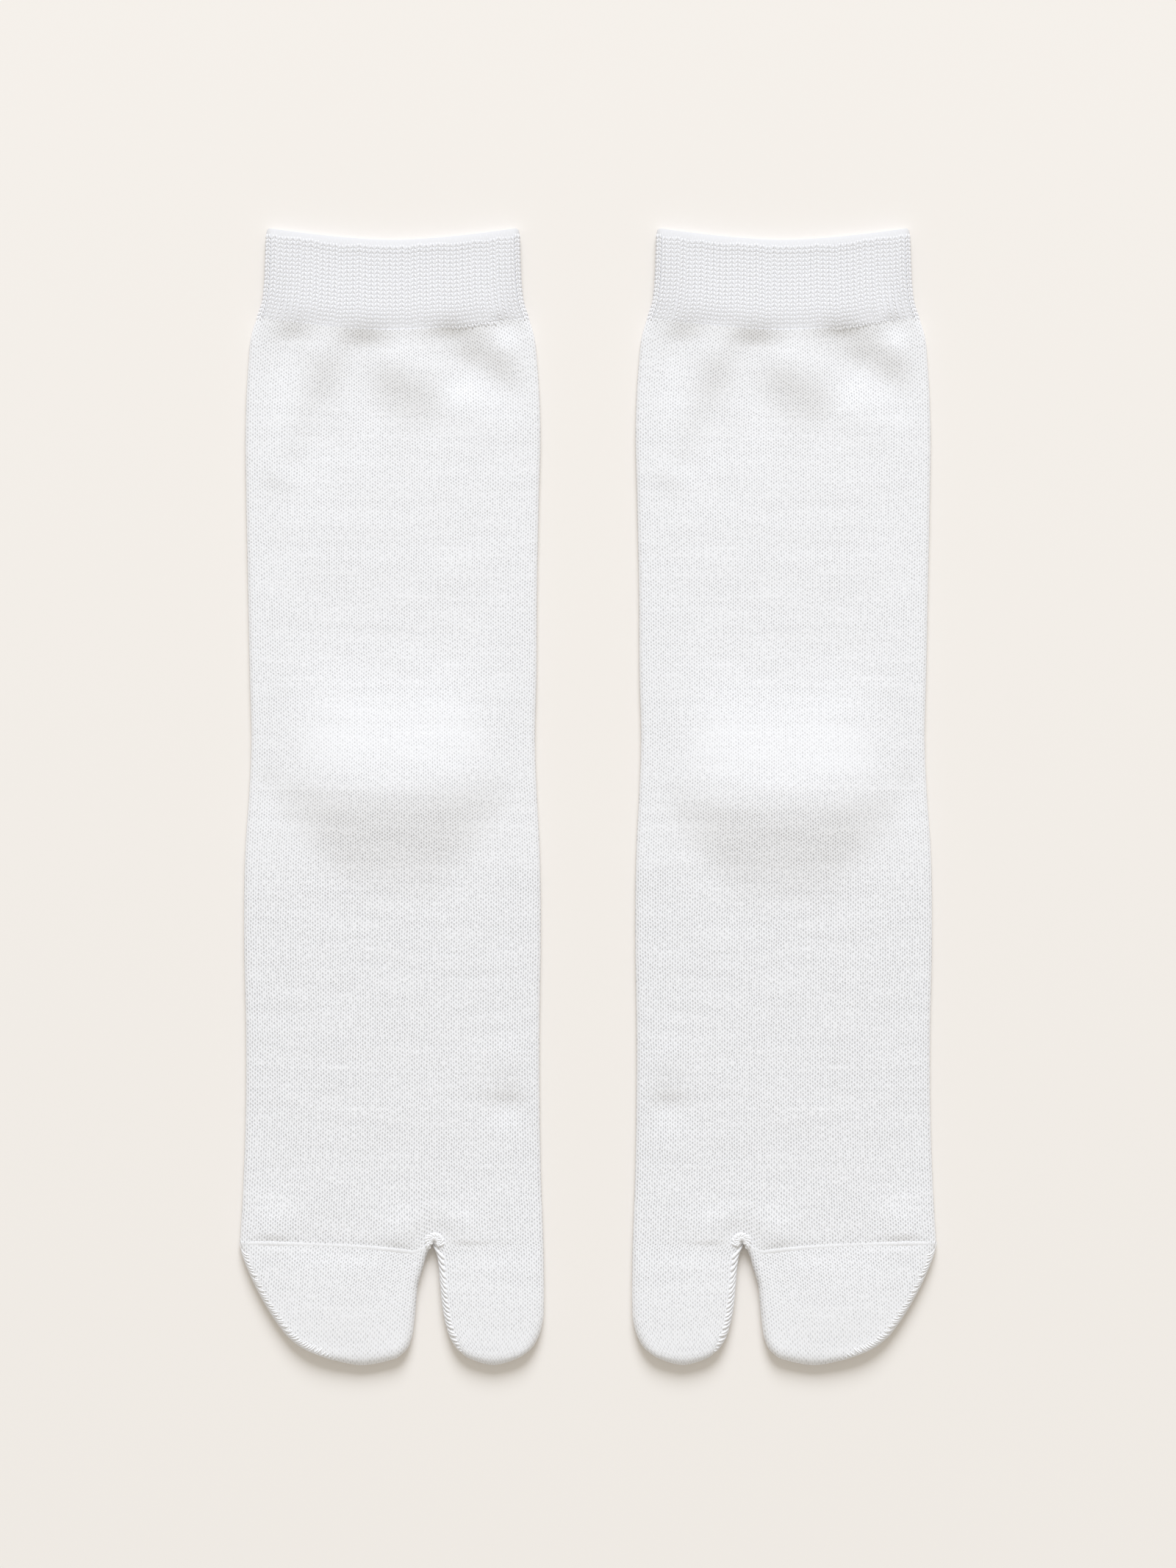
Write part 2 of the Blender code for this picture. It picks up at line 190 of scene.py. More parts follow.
# %% [markdown]
# ## Folds and fullness
#
# Cloth that has been laid by hand is never quite flat. The cuff draws the leg in, so
# the cloth below it puckers and sends a few soft, slanting folds down the leg. The
# heel is knitted full, and that fullness stands up in the middle. Each fold is one
# row in a short table, so that it can be moved or softened by itself. The leg's folds
# run the same way on both socks, so their X is measured to the right.

# %% Tables of folds
Ridge = namedtuple("Ridge", "from_x from_y to_x to_y width tail height end_height")
LEG_RIDGES = [
    # from left to right. Its slope is so wide towards the cuff, and tail towards the toes
    Ridge(2.0, 143.4, 31.0, 127.2, 10.0, 9.0, 1.88, 0.62),
    Ridge(26.0, 142.0, 38.0, 134.6, 8.5, 18.0, -2.05, -0.95),
    Ridge(-38.0, 114.0, -25.0, 146.0, 9.0, 6.0, 0.50, 1.30),
    Ridge(-14.0, 131.0, -7.0, 147.0, 6.5, 6.5, 0.20, 0.30),
    Ridge(-43.5, 109.6, -32.0, 103.6, 3.8, 4.5, 0.32, 0.18),
    Ridge(-25.0, 79.0, 30.0, 75.0, 5.0, 5.0, 0.10, 0.10),
    Ridge(-38.0, 92.0, 8.0, 87.0, 6.0, 6.0, 0.10, 0.06),
]
Hollow = namedtuple("Hollow", "x y wide long tail depth")
CUFF_HOLLOWS = [
    # tail is how far it reaches towards the toes, and long how far the other way
    Hollow(-34.8, 151.8, 8.0, 6.0, 26.0, 1.60),
    Hollow(-8.6, 149.8, 7.8, 5.4, 24.0, 2.05),
    Hollow(19.2, 153.2, 6.6, 4.2, 17.0, 1.55),
    Hollow(38.8, 157.8, 4.8, 2.8, 6.5, 1.70),
    Hollow(39.0, 150.8, 7.0, 20.0, 8.5, -1.50),
    Hollow(-20.5, 151.5, 5.0, 4.5, 10.0, -0.10),
    Hollow(-23.5, 130.0, 6.0, 13.0, 20.0, 0.80),
    Hollow(-31.0, 114.0, 6.0, 12.0, 18.0, 0.30),
]
FOOT_HOLLOWS = [
    Hollow(41.5, -102.8, 9.0, 3.6, 7.5, 1.0),
    Hollow(42.0, -87.5, 9.0, 6.5, 7.0, -0.55),
    Hollow(4.5, -145.5, 7.5, 6.0, 8.0, -0.75),
    Hollow(22.5, -146.0, 7.0, 7.0, 16.0, -0.6),
    Hollow(-43.5, -145.5, 7.5, 8.0, 7.0, -1.05),
    Hollow(-46.0, 3.0, 4.5, 5.5, 10.0, 3.2),
    Hollow(-21.0, -182.0, 24.0, 15.0, 15.0, -0.55),
    Hollow(33.0, -181.0, 18.0, 15.0, 15.0, -0.55),
]
SEAM_DIP = 2.6         # so near the toe seam the cloth starts to dip into it
SEAM_BOW = 2.4         # the toe seam bows down so far,
SEAM_BOW_FROM = 50.0   # from so far left of the centreline
SEAM_BOW_X = 6.0       # to so far right of it,
SEAM_BOW_POWER = 3     # most of it late on the way,
SEAM_CURL = 7.0        # and so near the crotch it curls up again
RIPPLE_HEIGHT = 0.04
RIPPLE_CELL = (17.0, 4.6)     # a ripple is far wider than it is long
RIPPLE_GRID = (12, 90)        # so many of them across and along,
RIPPLE_FROM = (120.0, 200.0)  # from so far left of the middle and so far below it
RIPPLE_SWAY = (3.0, 23.0)     # how far their rows swing along, and how slowly across
HEEL_PROFILE = [
    # from the crest  height
    (60.0, 0.00),
    (50.0, 0.06),
    (41.0, 0.40),
    (32.0, 1.10),
    (22.0, 2.05),
    (12.0, 3.02),
    (5.0, 3.55),
    (0.0, 3.60),
    (-5.0, 3.20),
    (-11.0, 2.45),
    (-17.0, 1.62),
    (-23.0, 0.86),
    (-30.0, 0.27),
    (-37.0, 0.03),
    (-42.0, 0.00),
]
HEEL_HEIGHT = max(height for _, height in HEEL_PROFILE)
HEEL_CREST_Y = {1: 0.4, -1: -3.3}      # by foot, as neither was laid quite like the other
HEEL_CREST_BEND = 9.5  # the crest's ends turn up by so much
HEEL_FLAT_HALF = 12.0  # to each side the heel is level so far,
HEEL_HALF_WIDTH = 45.0     # and has come down so far out
HEEL_SIDE_FALL = 0.45  # at the sides the fall is this share as long as in the middle,
HEEL_SHORTENS = 1.4    # and gets that short so much faster than the heel comes down
INLAND = 3.0           # fold thicknesses from the fold to where relief is whole
PUFF_POWER = 4         # the middle's puff stays almost level until near the folds


# %% Height of the folds at any place
def heel_lift(x, y, side):
    """The heel rises slowly from the leg, and falls to the foot in a shorter, curved slope."""
    off_middle = np.abs(x) / HEEL_HALF_WIDTH
    to_side = (np.abs(x) - HEEL_FLAT_HALF) / (HEEL_HALF_WIDTH - HEEL_FLAT_HALF)
    from_crest = y - HEEL_CREST_Y[side] - HEEL_CREST_BEND * off_middle**2
    below = lerp(1.0, HEEL_SIDE_FALL, np.clip(to_side * HEEL_SHORTENS, 0.0, 1.0))
    from_crest = np.where(from_crest < 0, from_crest / below, from_crest)
    places, heights = (np.array(column) for column in zip(*HEEL_PROFILE))
    from_crest = np.clip(from_crest, places[-1], places[0])
    return (1 - smooth(to_side)) * through(places, heights, from_crest)


def ridge_lift(ridge, x, y):
    run_x, run_y = ridge.to_x - ridge.from_x, ridge.to_y - ridge.from_y
    length = math.hypot(run_x, run_y)
    along = ((x - ridge.from_x) * run_x + (y - ridge.from_y) * run_y) / length
    beside = ((x - ridge.from_x) * run_y - (y - ridge.from_y) * run_x) / length
    past = np.maximum(np.maximum(-along, along - length), 0.0)
    height = lerp(ridge.height, ridge.end_height, np.clip(along / length, 0.0, 1.0))
    slope = np.where(beside < 0, ridge.width, ridge.tail)
    return height * np.exp(-((beside / slope) ** 2) - (past / ridge.width) ** 2)


def hollow_drop(hollow, x, y):
    long = np.where(y > hollow.y, hollow.long, hollow.tail)
    reach = ((x - hollow.x) / hollow.wide) ** 2 + ((y - hollow.y) / long) ** 2
    return hollow.depth * np.exp(-reach)


def pucker(x, y, side):
    """The gathers where the cuff draws the leg in, on both sides of that line."""
    return -sum(hollow_drop(hollow, side * x, y) for hollow in CUFF_HOLLOWS)


RIPPLES = np.random.default_rng(seed=5).uniform(-1.0, 1.0, RIPPLE_GRID)


def ripple(x, y, side):
    """Soft random waves across the cloth, from a grid of seeded heights."""
    swing, rate = RIPPLE_SWAY
    across = (side * x + RIPPLE_FROM[0]) / RIPPLE_CELL[0]
    along = (y + RIPPLE_FROM[1] + swing * np.sin(side * x / rate)) / RIPPLE_CELL[1]
    i, j = np.floor(across).astype(int), np.floor(along).astype(int)
    a, b = smooth(across - i), smooth(along - j)
    near = lerp(RIPPLES[i, j], RIPPLES[i + 1, j], a)
    far = lerp(RIPPLES[i, j + 1], RIPPLES[i + 1, j + 1], a)
    return RIPPLE_HEIGHT * lerp(near, far, b)


print("the heel stands", round(float(heel_lift(0.0, 0.0, 1)), 1), "mm above the leg")


# %% The toe seam's line, and all the relief together
def seam_sag(x):
    """The toe seam bows down beside the crotch, and curls up to it at the very end."""
    toward = np.clip((x + SEAM_BOW_FROM) / (SEAM_BOW_FROM + SEAM_BOW_X), 0.0, 1.0)
    return -SEAM_BOW * toward**SEAM_BOW_POWER * smooth((CROTCH_X - x) / SEAM_CURL)


def seam_y(x):
    share = (x - TUBE_ROWS[-1].left_x) / (CROTCH_X - TUBE_ROWS[-1].left_x)
    return lerp(TUBE_ROWS[-1].left_y, CROTCH_Y, share) + seam_sag(x)


def out_of_seam(x, y):
    """0 on the toe seam and 1 a little away from it, and on all of the big toe's side."""
    to_seam = np.hypot(np.maximum(x - CROTCH_X, 0.0), y - seam_y(np.minimum(x, CROTCH_X)))
    return smooth(to_seam / SEAM_DIP)


def relief(x, y, side):
    leg = sum(ridge_lift(ridge, side * x, y) for ridge in LEG_RIDGES)
    foot = sum(hollow_drop(hollow, x, y) for hollow in FOOT_HOLLOWS)
    folds = leg - foot + heel_lift(x, y, side) + pucker(x, y, side) + ripple(x, y, side)
    return folds * out_of_seam(x, y)


print("the seam bows down", round(float(-seam_sag(CROTCH_X - SEAM_CURL)), 1), "mm by the crotch")


# %% [markdown]
# ## Turning the sections into a shell
#
# One layer of cloth leaves the side fold on a quarter round and then lies level. The
# height needs one number only, the distance to the outline. Where two edges meet, as
# at a toe's corner, taking the smaller distance would leave a hard mitre. Adding the
# two and taking off their hypotenuse is nearly the smaller one, is still 0 on both
# edges, and turns the corner softly. The inner wall is the same surface, with the
# wall's thickness taken off the round.

# %% Heights and columns of one layer
ROUND_STEPS = 3        # columns on the quarter round of a fold
LAYERS_APART = 0.05    # the two layers come this near inside a deep fold
CROTCH_REACH = 32.0    # how far up the foot the seam's slant dies out
CROTCH_END = 3.0


def both(a, b):
    """Nearly the smaller of two distances, and 0 where either is 0."""
    return a + b - np.hypot(a, b)


def layer_height(rows, edge, inset, lift, share, upper):
    radius = rows.fold / 2
    short = radius - np.minimum(edge, radius)
    rise = np.sqrt(np.maximum((radius - inset) ** 2 - short**2, 0.0))
    if not upper:
        return radius - rise
    inland = smooth((edge - radius) / (INLAND * rows.fold))
    puff = rows.puff * (1 - np.abs(2 * share - 1) ** PUFF_POWER)
    pressed = radius - rise + np.minimum(LAYERS_APART, inland)
    return np.maximum(radius + rise + inland * (lift + puff), pressed)


def section_at(table, along, inner):
    """The rows here, with their width, the fold's radius and the wall's inset."""
    rows = rows_at(table, along)
    return rows, width_of(rows), rows.fold / 2, rows.wall if inner else 0.0 * rows.wall


def round_columns(radius, inset):
    turn = np.arange(ROUND_STEPS + 1) / ROUND_STEPS * math.pi / 2
    return inset + (radius - inset) * (1 - np.cos(turn))


def across(start, end, radius, inset, count):
    """Distances from one fold to another in so many steps, closer at the rounds."""
    near = round_columns(radius, inset)
    flat = count - 2 * ROUND_STEPS
    steps = np.arange(1, flat) / flat
    level = lerp(start + radius, end - radius, steps)
    return np.concatenate([start + near, level, end - near[:, ::-1]], axis=1)


def seam_closeness(along):
    above = np.asarray(along)[:, None] - TUBE_ROWS[-1].left_y
    return smooth((CROTCH_REACH - above) / (CROTCH_REACH - CROTCH_END))


def slant_to_seam(x, rows):
    """How far the seam's line lies below a straight row, at this X."""
    left = (x - rows.left_x) / (CROTCH_X - rows.left_x) * (CROTCH_Y - TUBE_ROWS[-1].left_y)
    left = left + seam_sag(x)
    share = (x - CROTCH_X) / (rows.right_x - CROTCH_X)
    right = lerp(CROTCH_Y, BIG_TOE_ROWS[0].right_y, share) - TUBE_ROWS[-1].left_y
    return np.where(x <= CROTCH_X, left, right)


# %% Layers of the leg and foot
WALES = 60             # stitches across the leg's upper layer
COURSE = 1.35          # height of a stitch, as the mesh's rows have it
COURSES = [(200.0, 1.26), (-15.0, 1.26), (-45.0, 1.40), (-200.0, 1.40)]    # by Y, as knitted
COUNT_STEP = 0.5       # courses are counted in steps as short as this
TOE_SIDE_WALES = 22    # wales that run on into the big toe
LOWER_SHARE = 3        # the layer on the floor has one column for so many above
Layer = namedtuple("Layer", "x y z u v")


def courses_at(y):
    """How many stitches have been knitted from the seam up to this Y."""
    places, heights = zip(*reversed(COURSES))
    along = np.arange(places[0], places[-1] + COUNT_STEP, COUNT_STEP)
    counted = np.cumsum(COUNT_STEP / np.interp(along, places, heights))
    return np.interp(y, along, counted)


def tube_counts(upper):
    left, right = WALES - TOE_SIDE_WALES, TOE_SIDE_WALES
    return (left, right) if upper else (2 * ROUND_STEPS + left // LOWER_SHARE, right)


def tube_layer(side, along, upper, inner, to_seam=False):
    """One layer of the leg and foot at these rows."""
    rows, width, radius, inset = section_at(TUBE_ROWS, along, inner)
    left, right = tube_counts(upper)
    crotch = (CROTCH_X - rows.left_x) / (rows.right_x - rows.left_x) * width
    even = across(0.0, width, radius, inset, left + right)
    to_left = across(0.0, crotch, radius, inset, left)
    to_right = across(crotch, width, radius, inset, right)
    parted = np.concatenate([to_left[:, :-1], crotch, to_right[:, 1:]], axis=1)
    closeness = seam_closeness(along)
    distance = lerp(even, parted, closeness)
    x, y = in_plan(rows, distance)
    y = y + closeness * slant_to_seam(x, rows)
    to_crotch = np.abs(x - CROTCH_X) if to_seam else np.hypot(x - CROTCH_X, y - CROTCH_Y)
    edge = np.minimum(np.minimum(distance, width - distance), to_crotch)
    share = distance / width
    lift = relief(x, y, side) if upper else 0.0
    z = layer_height(rows, edge, inset, lift, share, upper)
    u = WALES * share if upper else WALES * (2 - share)
    v = np.broadcast_to(courses_at(np.asarray(along, float))[:, None], x.shape)
    return Layer(x, y, z, u, v)


sample = tube_layer(1, [100.0, 99.0], upper=True, inner=False)
print("columns over the leg:", sample.x.shape[1])

# %% Layers of a toe
INNER_STEP = 9.0       # the inside isn't seen, so its rows can be far apart
FEWEST_ROWS = 4        # a toe has at least so many


def toe_rows(table, inner):
    """Y values from a toe's mouth to its tip, closer together round the tip."""
    tip, mouth = table[-1], table[0].left_y
    inset = tip.wall if inner else 0.0
    level = tip.left_y + tip.fold / 2
    step = INNER_STEP if inner else COURSE
    count = max(round((mouth - level) / step), FEWEST_ROWS)
    down = np.linspace(mouth, level, count + 1)
    rounding = tip.left_y + round_columns(tip.fold / 2, inset)[::-1]
    return np.concatenate([down, rounding[1:]])


def toe_layer(table, side, count, upper, inner, bow=None):
    """One layer of a toe from mouth to tip. Bow moves its rows along."""
    along = toe_rows(table, inner)
    rows, width, radius, inset = section_at(table, along, inner)
    to_tip = np.maximum(along[:, None] - table[-1].left_y, inset)
    distance = across(0.0, width, radius, inset, count)
    x, y = in_plan(rows, distance)
    if inner:
        edge = np.minimum(np.minimum(distance, width - distance), to_tip)
    else:
        edge = both(both(distance, width - distance), to_tip)
    y = bow(x, y) if bow else y
    lift = relief(x, y, side) if upper else 0.0
    z = layer_height(rows, edge, inset, lift, distance / width, upper)
    v = np.broadcast_to(courses_at(along)[:, None], x.shape)
    return Layer(x, y, z, x, v)


print("rows from the big toe's mouth to its tip:", len(toe_rows(BIG_TOE_ROWS, inner=False)))


# %% A piece of cloth gathers layers and becomes an object
SHARP_FROM = math.radians(50)     # a cut edge stays crisp, a fold's round doesn't
MERGE = 0.0001         # points closer than this are one


def in_scene(name, data):
    """A new object of this data, at the origin and in the scene."""
    thing = bpy.data.objects.new(name, data)
    bpy.context.scene.collection.objects.link(thing)
    return thing


class Cloth:
    """Faces in millimetres with the knit's own coordinates: wales across, courses along."""

    def __init__(self, side):
        self.side = side
        self.mesh = bmesh.new()
        self.knit = self.mesh.loops.layers.uv.new("knit")

    def strip_grid(self, layer):
        """Quads over a layer's grid of points."""
        points = np.stack([self.side * (layer.x - SOCK_CENTRE), layer.y, layer.z], axis=-1)
        verts = [[self.mesh.verts.new(point * MM) for point in row] for row in points]
        rows, columns = layer.x.shape
        for i in range(rows - 1):
            for j in range(columns - 1):
                ring = ((i, j), (i + 1, j), (i + 1, j + 1), (i, j + 1))
                face = self.mesh.faces.new([verts[a][b] for a, b in ring])
                for loop, (a, b) in zip(face.loops, ring):
                    loop[self.knit].uv = (layer.u[a, b], layer.v[a, b])

    def join(self, one, other):
        """A strip between the last row of one layer and the first row of another."""
        rows = [np.stack([a[-1], b[0]]) for a, b in zip(one, other)]
        self.strip_grid(Layer(*rows))

    def to_object(self, name, material):
        bmesh.ops.remove_doubles(self.mesh, verts=self.mesh.verts, dist=MERGE * MM)
        bmesh.ops.recalc_face_normals(self.mesh, faces=self.mesh.faces)
        open_edges = sum(1 for edge in self.mesh.edges if len(edge.link_faces) != 2)
        data = bpy.data.meshes.new(name)
        self.mesh.to_mesh(data)
        self.mesh.free()
        data.shade_smooth()
        data.set_sharp_from_angle(angle=SHARP_FROM)
        data.materials.append(material)
        print(name, len(data.polygons), "faces,", open_edges, "open edges")
        return in_scene(name, data)


def part_of(layer, columns):
    return Layer(*(field[:, columns] for field in layer))


def first_row(layer):
    return Layer(*(field[:1] for field in layer))


def last_row(layer):
    return Layer(*(field[-1:] for field in layer))


# %% [markdown]
# ## The knit in the shader
#
# Jersey shows a column of little Vs, a wale, and the Vs of one course nest in those
# of the next. Between them are small holes, dark with the shade that falls in them, which stand
# in a brick pattern: one inside each V, and one between two wales, half a stitch lower.
# Two cosines across and along the stitch give exactly that lattice. The group works on the
# piece's own knit coordinates, where 1 is a stitch, so the pattern follows the cloth round
# its folds. It gives a mask of the holes, where the materials paint that shade, and a height
# with the holes and the yarn in it.


# %% Helpers for wiring nodes
def add_node(tree, kind, inputs, **settings):
    """A new node. Each input, by name or number, is linked to a socket or set to a value."""
    node = tree.nodes.new(kind)
    for name, value in settings.items():
        setattr(node, name, value)
    for name, value in inputs.items():
        if isinstance(value, bpy.types.NodeSocket):
            tree.links.new(value, node.inputs[name])
        else:
            node.inputs[name].default_value = value
    return node.outputs


def new_group(name, kind, inputs, outputs):
    """A node group with these sockets. Returns it with its inner start and end."""
    group = bpy.data.node_groups.new(name, kind)
    for in_out, sockets in (("INPUT", inputs), ("OUTPUT", outputs)):
        for title, socket_kind, *value in sockets:
            socket = group.interface.new_socket(
                title, in_out=in_out, socket_type="NodeSocket" + socket_kind)
            if value:
                socket.default_value = value[0]
    start = group.nodes.new("NodeGroupInput").outputs
    end = group.nodes.new("NodeGroupOutput").inputs
    return group, start, end


def math_node(tree, operation, *inputs):
    """A Math node with its inputs linked or set."""
    return add_node(tree, "ShaderNodeMath", dict(enumerate(inputs)), operation=operation)[0]


def vector_node(tree, operation, first, second):
    """A Vector Math node. SCALE takes a number second, the others a vector."""
    inputs = {0: first, "Scale" if operation == "SCALE" else 1: second}
    return add_node(tree, "ShaderNodeVectorMath", inputs, operation=operation)[0]


def wave(tree, stitches, cycles=1.0):
    """Cosine of so many cycles a stitch."""
    return math_node(tree, "COSINE", math_node(tree, "MULTIPLY", stitches, 2 * math.pi * cycles))


def noise(tree, place, scale):
    """Soft noise over the stitches."""
    inputs = {"Vector": place, "Scale": scale, "Detail": 1.0}
    return add_node(tree, "ShaderNodeTexNoise", inputs, noise_dimensions="2D")


def noise_about_0(tree, place, scale):
    return math_node(tree, "SUBTRACT", noise(tree, place, scale)["Fac"], 0.5)


# %% The node group of the knit
KNIT_INPUTS = [
    ("Stitches", "Vector"),
    ("Yarn", "Float", 0.05),          # how far the yarn's own round stands up
    ("Unevenness", "Float", 1.7),     # how much one hole differs from the next
    ("Fuzz", "Float", 0.5),           # short hairs over holes and yarn
    ("Streaks", "Float", 0.7),        # how much the holes differ from place to place
    ("Warp", "Float", 0.8),           # how far stitches drift out of line, in stitches
    ("Between", "Float", 0.16),       # painted shade of the yarn all over, between the holes
    ("Fullness", "Float", 0.0),       # how far the holes and their painted shade are closed
]
DRIFT_SCALE, DRIFT_REACH = 0.30, (0.5, 0.8, 1.0)
HOLE_ROWS, HOLE_COLUMNS = 1.6, 2.0    # the shares of the two cosines in the lattice
HOLE_RANGE = (-0.3, 3.0)              # of the lattice: yarn at the first, a hole at the last
HOLE_SCALE, STREAK_SHAPE, HAIR_SCALE = 1.1, (0.08, 0.36, 1.0), 3.4
FULL_CLOSES = -0.60


def knit_group():
    group, start, end = new_group("knit stitches", "ShaderNodeTree", KNIT_INPUTS,
                                  [("Holes", "Float"), ("Height", "Float")])
    stitches = start["Stitches"]
    drift = noise(group, stitches, DRIFT_SCALE)["Color"]
    drift = vector_node(group, "SUBTRACT", drift, (0.5, 0.5, 0.5))
    drift = vector_node(group, "MULTIPLY", drift, DRIFT_REACH)
    drift = vector_node(group, "SCALE", drift, start["Warp"])
    drifted = vector_node(group, "ADD", stitches, drift)
    wale, course, _ = add_node(group, "ShaderNodeSeparateXYZ", {0: drifted})
    crossing = math_node(group, "MULTIPLY", wave(group, wale), wave(group, course))
    columns = math_node(group, "MULTIPLY", wave(group, wale, 2.0), HOLE_COLUMNS)
    lattice = math_node(group, "MULTIPLY_ADD", crossing, HOLE_ROWS, columns)
    opened = {"Value": lattice, "From Min": HOLE_RANGE[0], "From Max": HOLE_RANGE[1]}
    opened = add_node(group, "ShaderNodeMapRange", opened, interpolation_type="SMOOTHSTEP")
    uneven = noise_about_0(group, stitches, HOLE_SCALE)
    streaky = noise_about_0(group, vector_node(group, "MULTIPLY", stitches, STREAK_SHAPE), 1.0)
    strength = math_node(group, "MULTIPLY_ADD", uneven, start["Unevenness"], 1.0)
    strength = math_node(group, "MULTIPLY_ADD", streaky, start["Streaks"], strength)
    tight = math_node(group, "MULTIPLY_ADD", start["Fullness"], FULL_CLOSES, 1.0)
    strength = math_node(group, "MULTIPLY", strength, tight)
    hairs = noise_about_0(group, stitches, HAIR_SCALE)
    hairs = math_node(group, "MULTIPLY_ADD", hairs, start["Fuzz"], start["Between"])
    holes = math_node(group, "ADD", opened[0], hairs)
    holes = math_node(group, "MULTIPLY", holes, strength)
    arm = math_node(group, "ADD", course, math_node(group, "PINGPONG", wale, 0.5))
    yarn = math_node(group, "MULTIPLY", wave(group, arm), start["Yarn"])
    height = math_node(group, "MULTIPLY", math_node(group, "ADD", yarn, holes), -1.0)
    # the holes' mask goes out as Hole Shade, where the materials paint the shade that falls in
    # the holes; the same mask deepens the bump
    group.links.new(holes, end["Holes"])
    group.links.new(height, end["Height"])
    return group


KNIT = knit_group()
print("knit group outputs:", [item.name for item in KNIT.interface.items_tree])


# %% Cotton materials
FUZZY = {"Roughness": 0.92, "Sheen Weight": 0.15, "Sheen Roughness": 0.6}


def material_of(name, values):
    """A material with these values, the same all over, and its shader's sockets."""
    material = bpy.data.materials.new(name)
    material.use_nodes = True
    shader = material.node_tree.nodes["Principled BSDF"].inputs
    for socket, value in values.items():
        shader[socket].default_value = value
    return material, shader


def cotton(name, colour, shade, relief_mm):
    """Matte white cotton: the holes painted with the shade colour, and the stitches as bump."""
    material, shader = material_of(name, FUZZY)
    tree = material.node_tree
    uv = add_node(tree, "ShaderNodeUVMap", {}, uv_map="knit")
    full = add_node(tree, "ShaderNodeAttribute", {}, attribute_name="fullness")
    knit = {"Stitches": uv[0], "Fullness": full["Fac"]}
    knit = add_node(tree, "ShaderNodeGroup", knit, node_tree=KNIT)
    # painted shade: the shade colour goes where the holes are
    mix = {"A": colour, "B": shade, "Factor": knit["Holes"]}
    mix = add_node(tree, "ShaderNodeMix", mix, data_type="RGBA")
    bump = {"Strength": 1.0, "Distance": relief_mm * MM, "Height": knit["Height"]}
    bump = add_node(tree, "ShaderNodeBump", bump)
    tree.links.new(mix["Result"], shader["Base Color"])
    tree.links.new(bump[0], shader["Normal"])
    return material


# the second colour is the painted shade in the jersey's holes
JERSEY = cotton("white cotton jersey", (0.935, 0.937, 0.955, 1), (0.675, 0.675, 0.69, 1), 0.08)
print("made", JERSEY.name)

# %% [markdown]
# ## The leg, foot and big toe
#
# These are knitted in one, so they are one shell. The hard place is the crotch, where
# one tube becomes two. The columns of the mesh close up on that point from both
# sides, and the last row parts there: its left half is the mouth that the toe pocket
# is sewn to, and its right half runs on as the big toe.

# %% How far the knit's holes are closed, and the heel's lit slope painted lighter
LEG_FULLNESS = 0.42
LEG_ENDS = (-9.0, -32.0)      # the leg's tighter knit ends here in the middle, and at the sides
LEG_SIDE = (14.0, 20.0)       # the sides are so far out, and come on over so much
LEG_BLEND = 14.0              # over this length it changes to the foot's
TIP_FROM, TIP_TO = -148.0, -184.0
TIP_FULLNESS = 0.7
# The heel's slope up to its crest faces the light: its holes' painted shade is closed this far
# there, so the slope is painted lighter
HEEL_PAINTED_LIGHT = 0.75
HEEL_LIGHT_SPREADS = 1.7            # painted light: the heel's lit slope is painted lighter well before its highest place,
HEEL_LIGHT_BLEND = (1.0, 15.0)      # from so far above its crest, over so much
SEAM_OPENS = 1.3
HOLES_ABOVE, HOLES_OVER = 1.1, 0.9    # the drawn holes lie so far above the seam, over so much
HOLES_RATES = (0.9, 0.37)             # two waves along the seam: where they meet, it opens
HOLES_END = (2.0, 3.0)                # they stop so far from the crotch, over so much


def toe_fullness(y):
    """The stitches close up towards the toes' tips, where fewer of them are left."""
    return TIP_FULLNESS * smooth((TIP_FROM - y) / (TIP_FROM - TIP_TO))


def seam_holes(x, y):
    """Beside the toe seam the needle has drawn the stitches open, here more and there less, and
    the opened holes get more painted shade.
    """
    drawn = 0.5 + 0.5 * np.sin(x * HOLES_RATES[0]) * np.sin(x * HOLES_RATES[1] + 1.0)
    near = (y - seam_y(np.minimum(x, CROTCH_X)) - HOLES_ABOVE) / HOLES_OVER
    ending = smooth((CROTCH_X - HOLES_END[0] - x) / HOLES_END[1])
    return SEAM_OPENS * drawn * np.exp(-(near**2)) * ending


def tube_fullness_and_heel_light(x, y, side):
    ends = lerp(*LEG_ENDS, smooth((np.abs(x) - LEG_SIDE[0]) / LEG_SIDE[1]))
    leg = LEG_FULLNESS * smooth((y - ends) / LEG_BLEND)
    # painted light: above the heel's crest, on the slope that faces the light, the painted shade
    # of the holes is closed
    lit_slope = HEEL_LIGHT_SPREADS * heel_lift(x, y, side) / HEEL_HEIGHT
    lit_slope = np.minimum(lit_slope, HEEL_PAINTED_LIGHT)
    lit_slope = lit_slope * smooth((y - HEEL_CREST_Y[side] - HEEL_LIGHT_BLEND[0]) / HEEL_LIGHT_BLEND[1])
    return np.maximum(np.maximum(leg, lit_slope), toe_fullness(y)) - seam_holes(x, y)


def keep_on_points(data, name, values):
    """Keeps a number, or a vector, on each point of a mesh."""
    values = np.array(values, np.float32)
    kind, field = ("FLOAT", "value") if values.ndim == 1 else ("FLOAT_VECTOR", "vector")
    attribute = data.attributes.new(name, kind, "POINT")
    attribute.data.foreach_set(field, values.ravel())


def set_fullness(piece, side, fullness):
    """Keeps on each point how far the knit's holes and their painted shade are closed there; on
    the heel's lit slope this paints light.
    """
    places = np.array([vertex.co for vertex in piece.data.vertices]) / MM
    values = fullness(places[:, 0] * side + SOCK_CENTRE, places[:, 1], side)
    keep_on_points(piece.data, "fullness", values)


